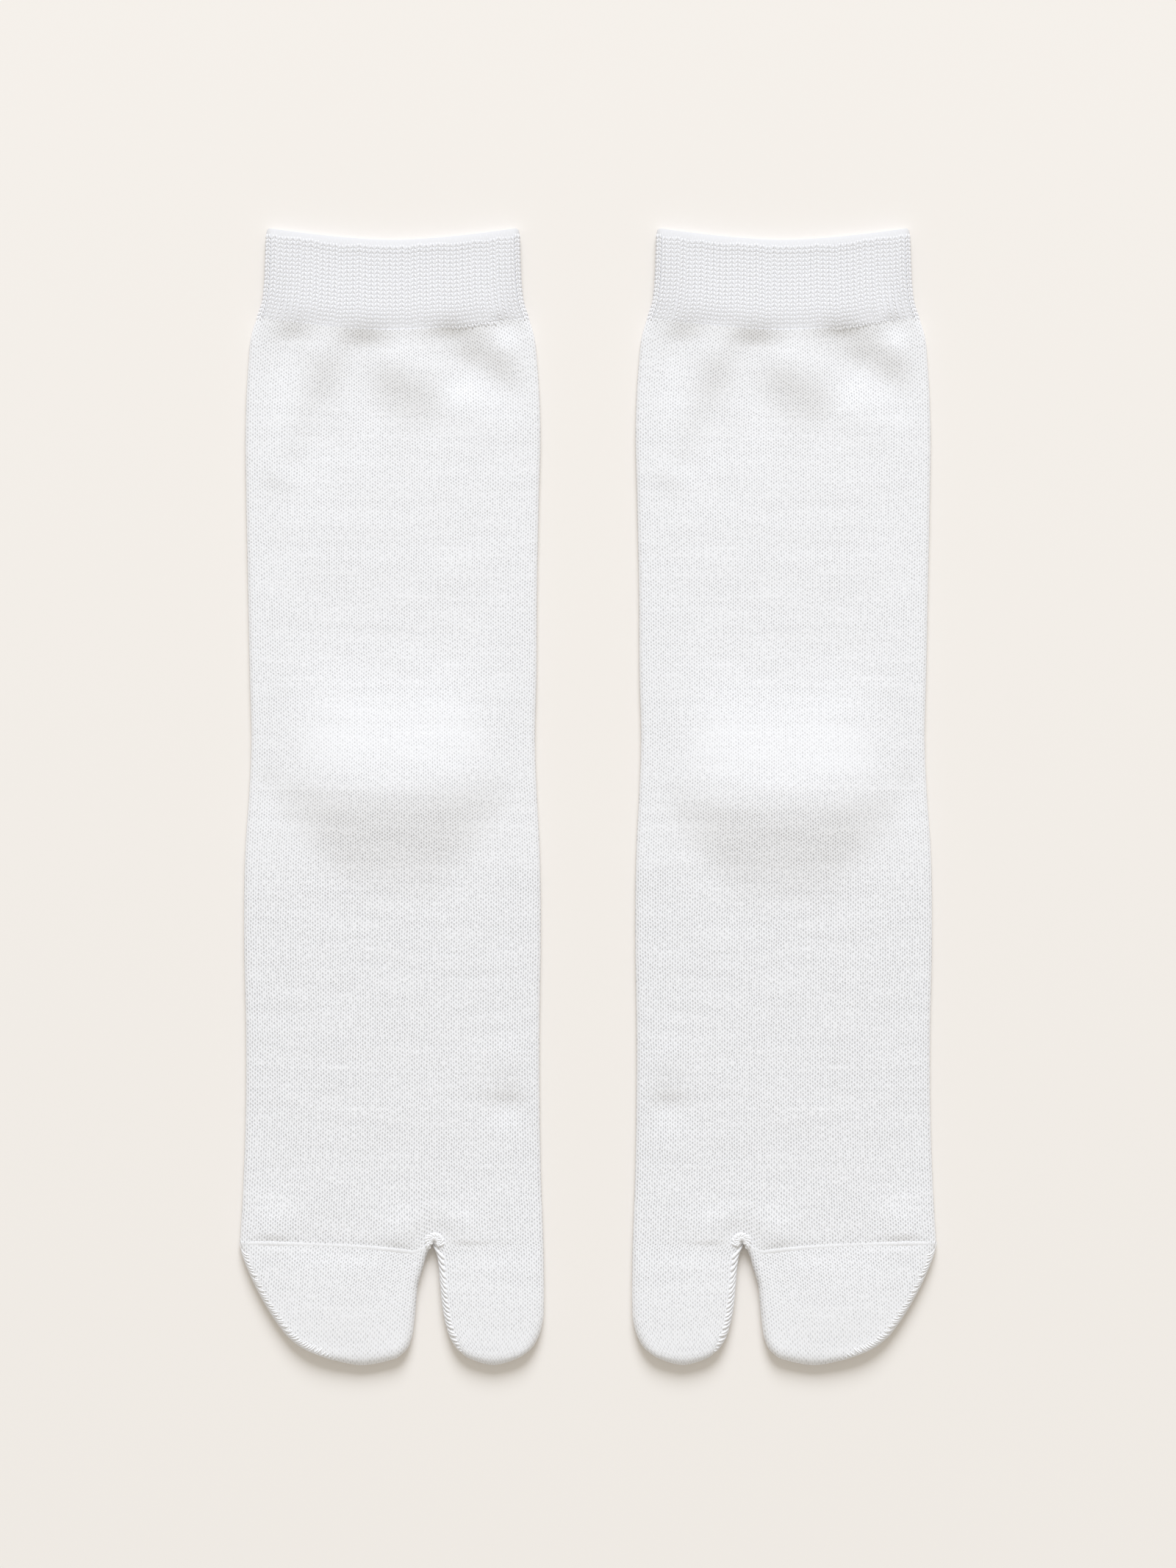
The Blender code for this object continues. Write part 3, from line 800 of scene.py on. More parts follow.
# at Y 20 this is the painted light on the heel's lit slope
print("the heel's holes are closed by", round(float(tube_fullness_and_heel_light(0.0, 20.0, 1)), 2))


# %% Build the leg, foot and big toe
def tube_along(inner):
    top, seam = TUBE_ROWS[0].left_y, TUBE_ROWS[-1].left_y
    clear = TUBE_ROWS[-1].wall if inner else COURSE / 2
    count = round((top - seam - clear) / (INNER_STEP if inner else COURSE))
    return np.linspace(top, seam + clear, count + 1)


def leg_and_foot(foot, side):
    cloth = Cloth(side)
    for upper in (True, False):
        left, right = tube_counts(upper)
        ends = []
        for inner in (False, True):
            leg = tube_layer(side, tube_along(inner), upper, inner)
            seam = tube_layer(side, [TUBE_ROWS[-1].left_y], upper, inner, to_seam=True)
            toe = toe_layer(BIG_TOE_ROWS, side, right, upper, inner)
            to_toe = part_of(seam, slice(left, None))
            drop = BIG_TOE_ROWS[0].left_y - TUBE_ROWS[-1].left_y
            share = (toe.x - toe.x[:, :1]) / (toe.x[:, -1:] - toe.x[:, :1])
            toe = toe._replace(u=lerp(to_toe.u[0, 0], to_toe.u[0, -1], share),
                               v=toe.v - drop / COURSES[-1][1])
            mouth = part_of(seam, slice(0, left + 1))
            if inner:
                mouth.x[0, -1] = CROTCH_X - TUBE_ROWS[-1].wall
            cloth.strip_grid(leg)
            cloth.strip_grid(toe)
            cloth.join(part_of(last_row(leg), slice(0, left + 1)), mouth)
            cloth.join(part_of(last_row(leg), slice(left, None)), first_row(toe))
            ends.append((first_row(leg), mouth))
        cloth.join(ends[0][0], ends[1][0])
        cloth.join(ends[0][1], ends[1][1])
    piece = cloth.to_object(foot + "_leg_and_foot", JERSEY)
    set_fullness(piece, side, tube_fullness_and_heel_light)
    return piece


legs = {foot: leg_and_foot(foot, side) for foot, side in FEET.items()}

# %% [markdown]
# ## The pocket for the small toes
#
# The pocket is a bag with one open end. It is a simple case of the same shell: rows
# from the mouth to the tip, on both layers. Its wales stand straight, apart from
# those beside the split, which run along that edge.

# %% Build the toe pockets
POCKET_WALES = WALES - TOE_SIDE_WALES
WALE = 1.65            # width of a stitch on the foot
MOUTH_DEPTH = 24.0     # rows this far below the mouth are straight again
WALE_LEAN = 0.13       # X for each Y, as the wales lean beside the split
SPLIT_LEAN = 0.5       # wales on the outer side lean this much as those beside the split


def pocket_wales(layer):
    """Stitch numbers across: straight on the outer side, along the split on the other."""
    share = (layer.x - layer.x[:, :1]) / (layer.x[:, -1:] - layer.x[:, :1])
    follow = lerp(SPLIT_LEAN, 1.0, smooth(share))
    return (layer.x - WALE_LEAN * (layer.y - CROTCH_Y) * follow) / WALE


def bowed_mouth(x, y):
    """The rows by the mouth bow down with the seam."""
    below = POCKET_ROWS[0].left_y - y
    return y + seam_sag(x) * (1 - smooth(below / MOUTH_DEPTH))


def toe_pocket(foot, side):
    cloth = Cloth(side)
    for upper in (True, False):
        mouths = []
        for inner in (False, True):
            layer = toe_layer(POCKET_ROWS, side, POCKET_WALES, upper, inner, bowed_mouth)
            layer = layer._replace(u=pocket_wales(layer))
            cloth.strip_grid(layer)
            mouths.append(first_row(layer))
        cloth.join(*mouths)
    piece = cloth.to_object(foot + "_small_toes", JERSEY)
    set_fullness(piece, side, lambda x, y, side: toe_fullness(y))
    return piece


pockets = {foot: toe_pocket(foot, side) for foot, side in FEET.items()}

# %% [markdown]
# ## The ribbed cuff
#
# The welt is knitted double and turned over, so its wall is thicker and its top edge
# is a smooth roll. Ribs are columns of stitches that stand proud, with a narrow
# furrow between two of them. The shell gets the furrows as a wave across it, and the
# yarn stitches come later, one rib at a time.

# %% The cuff's roll, corners and ribs
RIBS = 40
RIB_HEIGHT = 0.12
RIB_FADE = 9.0         # near the leg the ribs fade away over this length
COLUMNS_PER_RIB = 4
ROLL = 2.2             # the turned edge's roll is so far from the top to its full height
ROLL_STEPS = 5
ROLL_EDGE = 0.90       # the share of a layer's height that its turned edge still has
RIM_STANDS = 0.16      # the roll stands so far above the ribs,
RIM_FADE = 3.5         # and comes down to them over this length
RIBS_RISE = (0.2, 4.0) # the ribs start so far below the top, and rise over this length
CORNER_ROUND = 1.5     # radius of the top's two corners, in plan
CORNER_LENGTH = 3.5    # the rounding fades away over this length
ROWS_BELOW, INNER_ROWS, LOWER_COLUMNS = 22, 6, 24
CLOSED = 1.6           # the fullness at which the holes are gone,
CLOSED_TO = 3.4        # from the top to so far below it


def cuff_lift(x, y, along, side):
    """Puckers at the cuff's lower end, and the roll's height over the ribs at its top."""
    below_roll = CUFF_ROWS[0].left_y - ROLL - np.asarray(along, float)[:, None]
    return pucker(x, y, side) + RIM_STANDS * (1 - smooth(below_roll / RIM_FADE))


def corner_drop(edge, along):
    """How far the top's rounded corners lie below its line, so near the side fold."""
    beyond = np.maximum(1 - edge / CORNER_ROUND, 0.0)
    from_top = np.clip((CUFF_ROWS[0].left_y - along[:, None]) / CORNER_LENGTH, 0.0, 1.0)
    return CORNER_ROUND * (1 - np.sqrt(1 - beyond**2)) * (1 - from_top)


def rib_height(along):
    """Ribs rise below the turned edge, and sink again where they run into the leg."""
    down = smooth((CUFF_ROWS[0].left_y - RIBS_RISE[0] - along) / RIBS_RISE[1])
    return RIB_HEIGHT * down * smooth((along - CUFF_ROWS[-1].left_y) / RIB_FADE)


def cuff_along(inner):
    top, bottom = CUFF_ROWS[0].left_y, CUFF_ROWS[-1].left_y
    if inner:
        return np.linspace(top, bottom, INNER_ROWS)
    roll = top - ROLL * (1 - np.cos(np.arange(ROLL_STEPS + 1) / ROLL_STEPS * math.pi / 2))
    return np.concatenate([roll, np.linspace(top - ROLL, bottom, ROWS_BELOW)[1:]])


def rib_wave(distance, width, radius):
    """1 on a rib's crest and 0 in a furrow, over the level part of a layer."""
    level = (distance - radius) / (width - 2 * radius)
    inside = np.clip(np.minimum(level, 1 - level) * RIBS * 2, 0.0, 1.0)
    return inside * (0.5 - 0.5 * np.cos(2 * math.pi * level * RIBS))


print("a rib is", round(float(rib_height(np.array(175.0))), 2), "mm high halfway up")


# %% Build the cuffs
def cuff_layer(side, upper, inner):
    """One layer of the cuff, with its ribs on the outside of the upper one."""
    along = cuff_along(inner)
    rows, width, radius, inset = section_at(CUFF_ROWS, along, inner)
    count = 2 * ROUND_STEPS + (RIBS * COLUMNS_PER_RIB if upper else LOWER_COLUMNS)
    distance = across(0.0, width, radius, inset, count)
    x, y = in_plan(rows, distance)
    edge = np.minimum(distance, width - distance)
    y = y - corner_drop(edge, along)
    lift = cuff_lift(x, y, along, side) if upper else 0.0
    z = layer_height(rows, edge, inset, lift, distance / width, upper)
    if upper and not inner:
        z = z + rib_height(along[:, None]) * rib_wave(distance, width, radius)
    if not inner:
        from_top = np.minimum(CUFF_ROWS[0].left_y - along[:, None], ROLL) / ROLL
        rolled = 1 - (1 - from_top) ** 2
        z = radius + (z - radius) * lerp(ROLL_EDGE, 1.0, rolled)
    u = RIBS * (distance / width if upper else 2 - distance / width)
    v = np.broadcast_to(along[:, None] / COURSE, x.shape)
    return Layer(x, y, z, u, v)


def on_roll(x, y, side):
    """The turned edge is smooth yarn, with no holes in it."""
    share = (x - CUFF_ROWS[0].left_x) / (CUFF_ROWS[0].right_x - CUFF_ROWS[0].left_x)
    edge = CUFF_ROWS[0].left_y - CUFF_ROWS[0].sag * (1 - np.abs(2 * share - 1) ** SAG_POWER)
    return CLOSED * smooth(y - edge + CLOSED_TO)


def cuff(foot, side):
    cloth = Cloth(side)
    for upper in (True, False):
        outer, inner = cuff_layer(side, upper, False), cuff_layer(side, upper, True)
        cloth.strip_grid(outer)
        cloth.strip_grid(inner)
        cloth.join(first_row(inner), first_row(outer))
        cloth.join(last_row(outer), last_row(inner))
    piece = cloth.to_object(foot + "_ribbed_cuff", RIBBED)
    set_fullness(piece, side, on_roll)
    return piece


# the second colour is the painted shade in the holes of the cuff's shell
RIBBED = cotton("white ribbed cotton", (0.80, 0.80, 0.82, 1), (0.73, 0.73, 0.75, 1), 0.05)
cuffs = {foot: cuff(foot, side) for foot, side in FEET.items()}

# %% [markdown]
# ## Yarn stitches by Geometry Nodes
#
# The stitches of the ribs, and the threads of the seams, are thick enough to be
# modelled. Each kind is one small mesh of yarn, and a node tree sets it along a path
# at an even pitch. A path is a line of points that also says which way is out of the
# cloth, so the tree can stand each stitch on the surface and turn it along the line.
# A little random turn and size keeps them from looking stamped. The tree ends with
# Realize Instances and Set Material, and the result is turned into a plain mesh.


# %% The stitching tree
STITCHING_INPUTS = [
    ("Paths", "Geometry"),
    ("Stitch", "Object"),
    ("Pitch", "Float", 0.001),
    ("Turn", "Float", 0.05),
    ("Size Change", "Float", 0.06),
    ("Seed", "Int", 3),
    ("Material", "Material"),
]


def on_points(tree, name, kind):
    """What the path's points carry under this name."""
    inputs = {"Name": name}
    return add_node(tree, "GeometryNodeInputNamedAttribute", inputs, data_type=kind)[0]


def between(tree, low, high, seed):
    """A random number for each stitch."""
    return add_node(tree, "FunctionNodeRandomValue", {2: low, 3: high, "Seed": seed})[1]


def to_plain_mesh(tree, made, material, end):
    """How both trees end: instances are made real, and get their material."""
    real = add_node(tree, "GeometryNodeRealizeInstances", {0: made})
    inputs = {"Geometry": real[0], "Material": material}
    tree.links.new(add_node(tree, "GeometryNodeSetMaterial", inputs)[0], end)


def stitching_tree():
    tree, start, end = new_group("stitches along paths", "GeometryNodeTree",
                                 STITCHING_INPUTS, [("Stitches", "Geometry")])
    curve = add_node(tree, "GeometryNodeMeshToCurve", {"Mesh": start["Paths"]})
    spaced = {"Curve": curve[0], "Length": start["Pitch"]}
    spaced = add_node(tree, "GeometryNodeResampleCurve", spaced, mode="LENGTH")
    axes = {"Primary Axis": add_node(tree, "GeometryNodeInputTangent", {})[0],
            "Secondary Axis": on_points(tree, "outward", "FLOAT_VECTOR")}
    stand = add_node(tree, "FunctionNodeAxesToRotation", axes,
                     primary_axis="Y", secondary_axis="Z")
    back = math_node(tree, "MULTIPLY", start["Turn"], -1.0)
    spin = {"Axis": (0, 0, 1), "Angle": between(tree, back, start["Turn"], start["Seed"])}
    spin = add_node(tree, "FunctionNodeAxisAngleToRotation", spin)
    turned = add_node(tree, "FunctionNodeRotateRotation", {0: stand[0], 1: spin[0]},
                      rotation_space="LOCAL")
    smaller = math_node(tree, "SUBTRACT", 1.0, start["Size Change"])
    larger = math_node(tree, "ADD", 1.0, start["Size Change"])
    size = between(tree, smaller, larger, start["Seed"])
    stitch = add_node(tree, "GeometryNodeObjectInfo", {"Object": start["Stitch"]})
    placed = {"Points": spaced[0], "Instance": stitch["Geometry"], "Rotation": turned[0],
              "Scale": math_node(tree, "MULTIPLY", size, on_points(tree, "size", "FLOAT"))}
    placed = add_node(tree, "GeometryNodeInstanceOnPoints", placed)
    to_plain_mesh(tree, placed[0], start["Material"], end["Stitches"])
    return tree


STITCHING = stitching_tree()
print("stitching tree:", len(STITCHING.nodes), "nodes")

# %% A stitch of yarn as a small mesh
YARN_SIDES = 6


def yarn_rings(mesh, strand, flat):
    """Rings of points round a strand, a list of (x, y, z, radius) in mm."""
    points = np.array(strand, float)
    ahead = np.gradient(points[:, :3], axis=0)
    ahead /= np.linalg.norm(ahead, axis=1, keepdims=True)
    beside = np.cross(ahead, (0.0, 0.0, 1.0))
    beside /= np.linalg.norm(beside, axis=1, keepdims=True)
    above = np.cross(beside, ahead)
    rings = []
    for place, right, up in zip(points, beside, above):
        ring = []
        for k in range(YARN_SIDES):
            angle = 2 * math.pi * k / YARN_SIDES
            offset = (right * math.cos(angle) + up * (flat * math.sin(angle))) * place[3]
            ring.append(mesh.verts.new((place[:3] + offset) * MM))
        rings.append(ring)
    return rings


def stitch_object(name, strands, flat):
    """A stitch of a few closed strands, each pressed flat to this share of its width."""
    mesh = bmesh.new()
    for strand in strands:
        rings = yarn_rings(mesh, strand, flat)
        for one, other in zip(rings, rings[1:]):
            for k in range(YARN_SIDES):
                n = (k + 1) % YARN_SIDES
                mesh.faces.new([one[k], one[n], other[n], other[k]])
        mesh.faces.new(rings[0])
        mesh.faces.new(list(reversed(rings[-1])))
    bmesh.ops.recalc_face_normals(mesh, faces=mesh.faces)
    data = bpy.data.meshes.new(name)
    mesh.to_mesh(data)
    mesh.free()
    data.shade_smooth()
    return bpy.data.objects.new(name, data)


# %% Paths to stitch along
Path = namedtuple("Path", "points size outward", defaults=[(0, 0, 1)])


def paths_object(name, paths):
    """Lines of points in mm, with the way out of the cloth and a size kept on each point."""
    data = bpy.data.meshes.new(name)
    points, edges, outward, sizes = [], [], [], []
    for path in paths:
        first = len(points)
        points += [((x - SOCK_CENTRE) * MM, y * MM, z * MM) for x, y, z in path.points]
        edges += [(k, k + 1) for k in range(first, len(points) - 1)]
        outward += [path.outward] * len(path.points)
        sizes += list(path.size)
    data.from_pydata(points, edges, [])
    keep_on_points(data, "outward", outward)
    keep_on_points(data, "size", sizes)
    return in_scene(name, data)


def run_tree(name, side, paths, tree, inputs):
    """Runs a node tree over left-sock paths and keeps the result as a plain mesh."""
    guide = paths_object(name + "_guide", paths)
    modifier = guide.modifiers.new("stitches", "NODES")
    modifier.node_group = tree
    for item in tree.interface.items_tree:
        if item.in_out == "INPUT" and item.name in inputs:
            modifier[item.identifier] = inputs[item.name]
    evaluated = guide.evaluated_get(bpy.context.evaluated_depsgraph_get())
    data = bpy.data.meshes.new_from_object(evaluated)
    bpy.data.objects.remove(guide)
    if side < 0:
        data.transform(Matrix.Scale(-1, 4, (1, 0, 0)))
        data.flip_normals()
    data.name = name
    made = in_scene(name, data)
    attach(made, "root")
    print(name, sum(len(face.vertices) - 2 for face in data.polygons), "triangles")


# %% [markdown]
# ## Stitches of the ribs
#
# A rib is a column of stitches. Each shows two short lengths of yarn that meet at the
# top and lean apart downwards, like a small roof. They are thick in the middle and dive
# into the cloth at both ends, where the next stitch covers them.

# %% The stitch of a rib
YARN, _ = material_of("white cotton yarn", {"Base Color": (0.885, 0.885, 0.90, 1), **FUZZY})
RIB_YARN, _ = material_of("white rib yarn", {"Base Color": (0.85, 0.85, 0.87, 1), **FUZZY})
RIB_COURSE = 1.36
RIBS_TOP, RIBS_BOTTOM = CUFF_ROWS[0].left_y - 2.7, CUFF_ROWS[-1].left_y - 0.3
RIB_ARM = 0.38         # radius of the yarn,
RIB_ARM_END = 0.6      # which is this share as thick where it dives into the cloth
RIB_FLAT = 0.31        # the yarn is pressed to this share of its width
RIB_RISE = -0.045      # the yarn's middle lies so far above the shell
RIB_LEAST = 0.88       # the stitches' size where the ribs run out into the leg
SIDE_RIBS = (math.radians(18), math.radians(56))
SIDE_RIB_SIZE = 0.95
RIB_SLIP = 0.24        # a rib lies up to so many courses higher or lower than the last one
RIB_SLIP_MOST = 0.42   # and never further than this from the level
RIB_ARM_LINE = [
    # to the side, along and out, from the stitch's middle
    (0.32, 0.84, -0.25),
    (0.38, 0.52, -0.08),
    (0.47, 0.10, 0.02),
    (0.57, -0.34, 0.03),
    (0.65, -0.72, -0.03),
    (0.70, -1.04, -0.20),
]


def roof_stitch():
    """Two arms of yarn, thinner at their ends, where they dive into the cloth."""
    count = len(RIB_ARM_LINE)
    middle = [math.sin(math.pi * (i + 0.5) / count) for i in range(count)]
    girths = [RIB_ARM * lerp(RIB_ARM_END, 1.0, share) for share in middle]
    return [[(hand * x, y, z, girth) for (x, y, z), girth in zip(RIB_ARM_LINE, girths)]
            for hand in (-1, 1)]


print("a rib stitch has", len(roof_stitch()), "arms")


# %% Paths up the ribs
def up_the_cuff(side, along, share, rise):
    """Points up the cuff's upper layer, at this share of its level width."""
    rows, width, radius, inset = section_at(CUFF_ROWS, along, inner=False)
    distance = radius + (width - 2 * radius) * share
    x, y = in_plan(rows, distance)
    edge = np.minimum(distance, width - distance)
    lift = cuff_lift(x, y, along, side)
    z = layer_height(rows, edge, inset, lift, distance / width, upper=True)
    return np.concatenate([x, y, z + rise[:, None]], axis=1)


def rib_slips(seed):
    """How far each rib has slipped along, in mm: a walk that is turned back at its limit."""
    steps = np.random.default_rng(seed).uniform(-RIB_SLIP, RIB_SLIP, RIBS)
    slips = [0.0]
    for step in steps:
        there = slips[-1] + step
        slips.append(slips[-1] - step if abs(there) > RIB_SLIP_MOST else there)
    return [slip * RIB_COURSE for slip in slips[1:]]


RIB_POINTS = 40        # on a path


def rib_paths(side):
    """One path up each rib, and two round each side fold."""
    along = np.linspace(RIBS_BOTTOM, RIBS_TOP, RIB_POINTS)
    sizes = lerp(RIB_LEAST, 1.0, smooth((along - along[0]) / RIB_FADE))
    rise = rib_height(along) + RIB_RISE
    paths = []
    for rib, slip in enumerate(rib_slips(seed=9)):
        paths.append(Path(up_the_cuff(side, along + slip, (rib + 0.5) / RIBS, rise), sizes))
    rows, width, radius, _ = section_at(CUFF_ROWS, along, inner=False)
    for turn in SIDE_RIBS:
        for hand in (-1, 1):
            reach = radius * (1 - math.cos(turn))
            x, y = in_plan(rows, reach if hand < 0 else width - reach)
            points = np.concatenate([x, y, radius + radius * math.sin(turn)], axis=1)
            out = (hand * math.cos(turn), 0.0, math.sin(turn))
            paths.append(Path(points, sizes * SIDE_RIB_SIZE, out))
    return paths


print("rib paths:", len(rib_paths(1)))

# %% Knit the ribs
rib_stitch = stitch_object("rib stitch", roof_stitch(), flat=RIB_FLAT)
knitted = {"Stitch": rib_stitch, "Pitch": RIB_COURSE * MM, "Turn": 0.06,
           "Size Change": 0.05, "Seed": 3, "Material": RIB_YARN}
for foot, side in FEET.items():
    run_tree(foot + "_rib_stitches", side, rib_paths(side), STITCHING, knitted)
bpy.data.objects.remove(rib_stitch)

# %% [markdown]
# ## Threads along the seams
#
# The toe seams are sewn with a thick thread that is laid side by side over the edge.
# Here a path is the thread itself, so a second tree gives each path a round section
# and rounds it off with its own girth at each point. The threads are put on the real
# surface: each point is first guessed from the edge's line, then moved to the nearest
# place on the cloth and lifted by a part of the thread's thickness.

# %% The thread tree
THREADING_INPUTS = [
    ("Paths", "Geometry"),
    ("Sides", "Int", 7),
    ("Steps", "Int", 2),
    ("Material", "Material"),
]


def thread_tree():
    tree, start, end = new_group("thread along paths", "GeometryNodeTree",
                                 THREADING_INPUTS, [("Threads", "Geometry")])
    curve = add_node(tree, "GeometryNodeMeshToCurve", {"Mesh": start["Paths"]})
    smoothed = add_node(tree, "GeometryNodeCurveSplineType", {"Curve": curve[0]},
                        spline_type="CATMULL_ROM")
    finer = {0: smoothed[0], "Resolution": start["Steps"]}
    finer = add_node(tree, "GeometryNodeSetSplineResolution", finer)
    ring = {"Radius": 1.0, "Resolution": start["Sides"]}
    ring = add_node(tree, "GeometryNodeCurvePrimitiveCircle", ring)
    tube = {"Curve": finer[0], "Profile Curve": ring[0], "Fill Caps": True,
            "Scale": math_node(tree, "MULTIPLY", on_points(tree, "size", "FLOAT"), MM)}
    tube = add_node(tree, "GeometryNodeCurveToMesh", tube)
    to_plain_mesh(tree, tube[0], start["Material"], end["Threads"])
    return tree


THREADING = thread_tree()
print("thread tree:", len(THREADING.nodes), "nodes")

# %% Thin yarn up the ribs
MIDDLE_THREAD = (0.15, 0.15)     # girth, and height over the shell, in a rib's middle
FURROW_THREAD = (0.19, 0.03)     # and in a furrow
THREAD_SINK = 0.22               # over the roll the threads lie this much deeper
THREAD_SINKS_OVER = 1.5          # and they sink over this length
THREAD_LEAST = 0.6               # at the leg they are this share as thick,
THREAD_THICKENS = 3.0            # and over this length they get their whole girth
THREAD_TOP_DIVE = 0.6            # of its girth: the top end lies so much deeper
THREAD_FROM, THREAD_TO = CUFF_ROWS[-1].left_y + 0.5, CUFF_ROWS[0].left_y - 0.7
THREAD_POINTS = 24


def rib_threads(side):
    """Between a rib's two rows of arms, and between two ribs, thin yarn runs straight up."""
    along = np.linspace(THREAD_FROM, THREAD_TO, THREAD_POINTS)
    at_end = along == along[-1]
    out_of_leg = smooth((along - along[0]) / RIB_FADE)
    thicker = lerp(THREAD_LEAST, 1.0, smooth((along - along[0]) / THREAD_THICKENS))
    over_roll = THREAD_SINK * smooth((along - RIBS_TOP) / THREAD_SINKS_OVER)
    paths = []
    for half in range(2 * RIBS + 1):
        girth, rise = MIDDLE_THREAD if half % 2 else FURROW_THREAD
        lit_slope = rise * out_of_leg - THREAD_TOP_DIVE * girth * at_end - over_roll
        points = up_the_cuff(side, along, half / RIBS / 2, lit_slope)
        paths.append(Path(points, girth * thicker))
    return paths


thin = {"Sides": 5, "Steps": 1, "Material": RIB_YARN}
for foot, side in FEET.items():
    run_tree(foot + "_rib_threads", side, rib_threads(side), THREADING, thin)


# %% Put a thread on the cloth
def surface_of(piece):
    data = piece.data
    places = [vertex.co for vertex in data.vertices]
    return BVHTree.FromPolygons(places, [face.vertices for face in data.polygons])


SURFACES = [surface_of(legs["left"]), surface_of(pockets["left"])]


def on_cloth(x, y, z, lift):
    """The nearest place on the left sock, lifted off it, in the sock's own millimetres."""
    guess = Vector((x - SOCK_CENTRE, y, z)) * MM
    hits = [surface.find_nearest(guess) for surface in SURFACES]
    place, normal, _, _ = min(hits, key=lambda hit: hit[3])
    place = place / MM + normal * lift
    return (place.x + SOCK_CENTRE, place.y, place.z)


THREAD_DIVE = 0.7      # of its girth: an end lies so deep in the cloth,
THREAD_END = 0.55      # and is this share as thick


def thread(guesses, girth, lift):
    """A thread over these places. Its ends are thin and dive into the cloth."""
    points, sizes = [], []
    for i, guess in enumerate(guesses):
        at_end = i in (0, len(guesses) - 1)
        points.append(on_cloth(*guess, girth * (-THREAD_DIVE if at_end else lift)))
        sizes.append(girth * (THREAD_END if at_end else 1.0))
    return Path(points, sizes)


print("a thread can lie at", [round(n, 2) for n in on_cloth(0.0, -160.0, 5.0, 0.3)])

# %% Places along a side fold
LINE_STEP, TIP_STEPS = 0.5, 30
LOOK_AHEAD = 0.8       # the fold's direction is taken over so far each way


def fold_line(table, round_tip):
    """Down a toe's left fold and so far round its tip: x, y and the fold's radius."""
    rows = rows_at(table, np.arange(table[0].left_y, table[-1].left_y, -LINE_STEP))
    tip = rows_at(table, [table[-1].left_y])
    x, y = in_plan(tip, np.linspace(0.0, round_tip, TIP_STEPS)[None, :] * width_of(tip))
    down = np.column_stack([rows.left_x, rows.left_y, rows.fold / 2])
    radii = np.full(TIP_STEPS, tip.fold[0, 0] / 2)
    return np.concatenate([down, np.column_stack([x[0], y[0], radii])])


def around_fold(line, at, across):
    """A place so far along a fold's line, and so far across from its outermost point."""
    steps = np.hypot(*np.diff(line[:, :2], axis=0).T)
    length = np.concatenate([[0.0], np.cumsum(steps)])
    x, y, radius = (np.interp(at, length, column) for column in line.T)
    near = np.clip(at, LOOK_AHEAD, length[-1] - LOOK_AHEAD)
    ahead = [np.interp(near + LOOK_AHEAD, length, column)
             - np.interp(near - LOOK_AHEAD, length, column) for column in line.T[:2]]
    size = math.hypot(*ahead)
    turn = across / radius
    if turn < math.pi / 2:
        reach, z = radius * (1 - math.cos(turn)), radius * (1 + math.sin(turn))
    else:
        reach, z = radius + across - radius * math.pi / 2, 2 * radius
    return x - ahead[1] / size * reach, y + ahead[0] / size * reach, z


pocket_line = fold_line(POCKET_ROWS, round_tip=0.5)
print("halfway down the pocket's fold:", [round(float(n), 1) for n in pocket_line[40]])


# %% [markdown]
# ## The sewn edges of the toes
#
# Two edges are wrapped. The big toe's side of the split has thick threads that lie
# along the edge like a rope. The pocket's outer curve has finer ones, closer together.
# Their slant and spacing change on the way to the tip, as they do when an edge is sewn
# by hand round a bend.

# %% Wrap the edges
Wrap = namedtuple("Wrap", "pitch lean under over girth lift")
VARIES = Wrap(0.10, 0.10, 0.0, 0.08, 0.06, 0.0)    # each thread, by up to this share
WRAP_POINTS = 8
WRAP_BACK = 0.35       # of its lean: a thread starts so far before its own place
BENDS_BY = 0.8         # of its way: a curled thread has done its lean by then
LAST_STRETCH = 7.0     # over this length the threads get thinner, shorter and lower:
LAST = Wrap(None, None, None, 0.6, 0.75, -0.45)


def wraps(line, start, end, first, last, seed, curl=0.0):
    """Threads over a fold from one place along it to another, changing on the way.

    With curl, a thread runs along the fold at first and then bends inland.
    """
    random = np.random.default_rng(seed)
    threads, at = [], start
    while at < end:
        share = smooth((at - start) / (end - start))
        wrap = Wrap(*(lerp(a, b, share) for a, b in zip(first, last)))
        jitter = random.uniform(-1.0, 1.0, 3)
        lean = wrap.lean * (1 + VARIES.lean * jitter[0])
        fade = smooth((end - at) / LAST_STRETCH)
        over = wrap.over * (1 + VARIES.over * jitter[1]) * lerp(LAST.over, 1.0, fade)
        guesses = []
        for travel in np.linspace(0.0, 1.0, WRAP_POINTS):
            ahead = lean * (lerp(travel, smooth(travel / BENDS_BY), curl) - WRAP_BACK)
            guesses.append(around_fold(line, at + ahead, lerp(-wrap.under, over, travel)))
        girth = wrap.girth * (1 + VARIES.girth * jitter[2]) * lerp(LAST.girth, 1.0, fade)
        threads.append(thread(guesses, girth, lerp(LAST.lift, wrap.lift, fade)))
        at += wrap.pitch * (1 + VARIES.pitch * jitter[2])
    return threads


rope = wraps(fold_line(BIG_TOE_ROWS, round_tip=0.4), 1.2, 37.5,
             Wrap(1.90, 7.6, 1.5, 3.2, 0.52, 0.15), Wrap(1.60, 3.8, 1.5, 3.5, 0.42, 0.0), seed=11)
overlock = wraps(pocket_line, 0.5, 50.5, Wrap(0.95, 7.4, 1.8, 3.6, 0.32, -0.35),
                 Wrap(1.20, 6.4, 1.8, 4.3, 0.35, -0.45), seed=12, curl=0.6)
print("threads:", len(rope), "on the split,", len(overlock), "on the pocket")


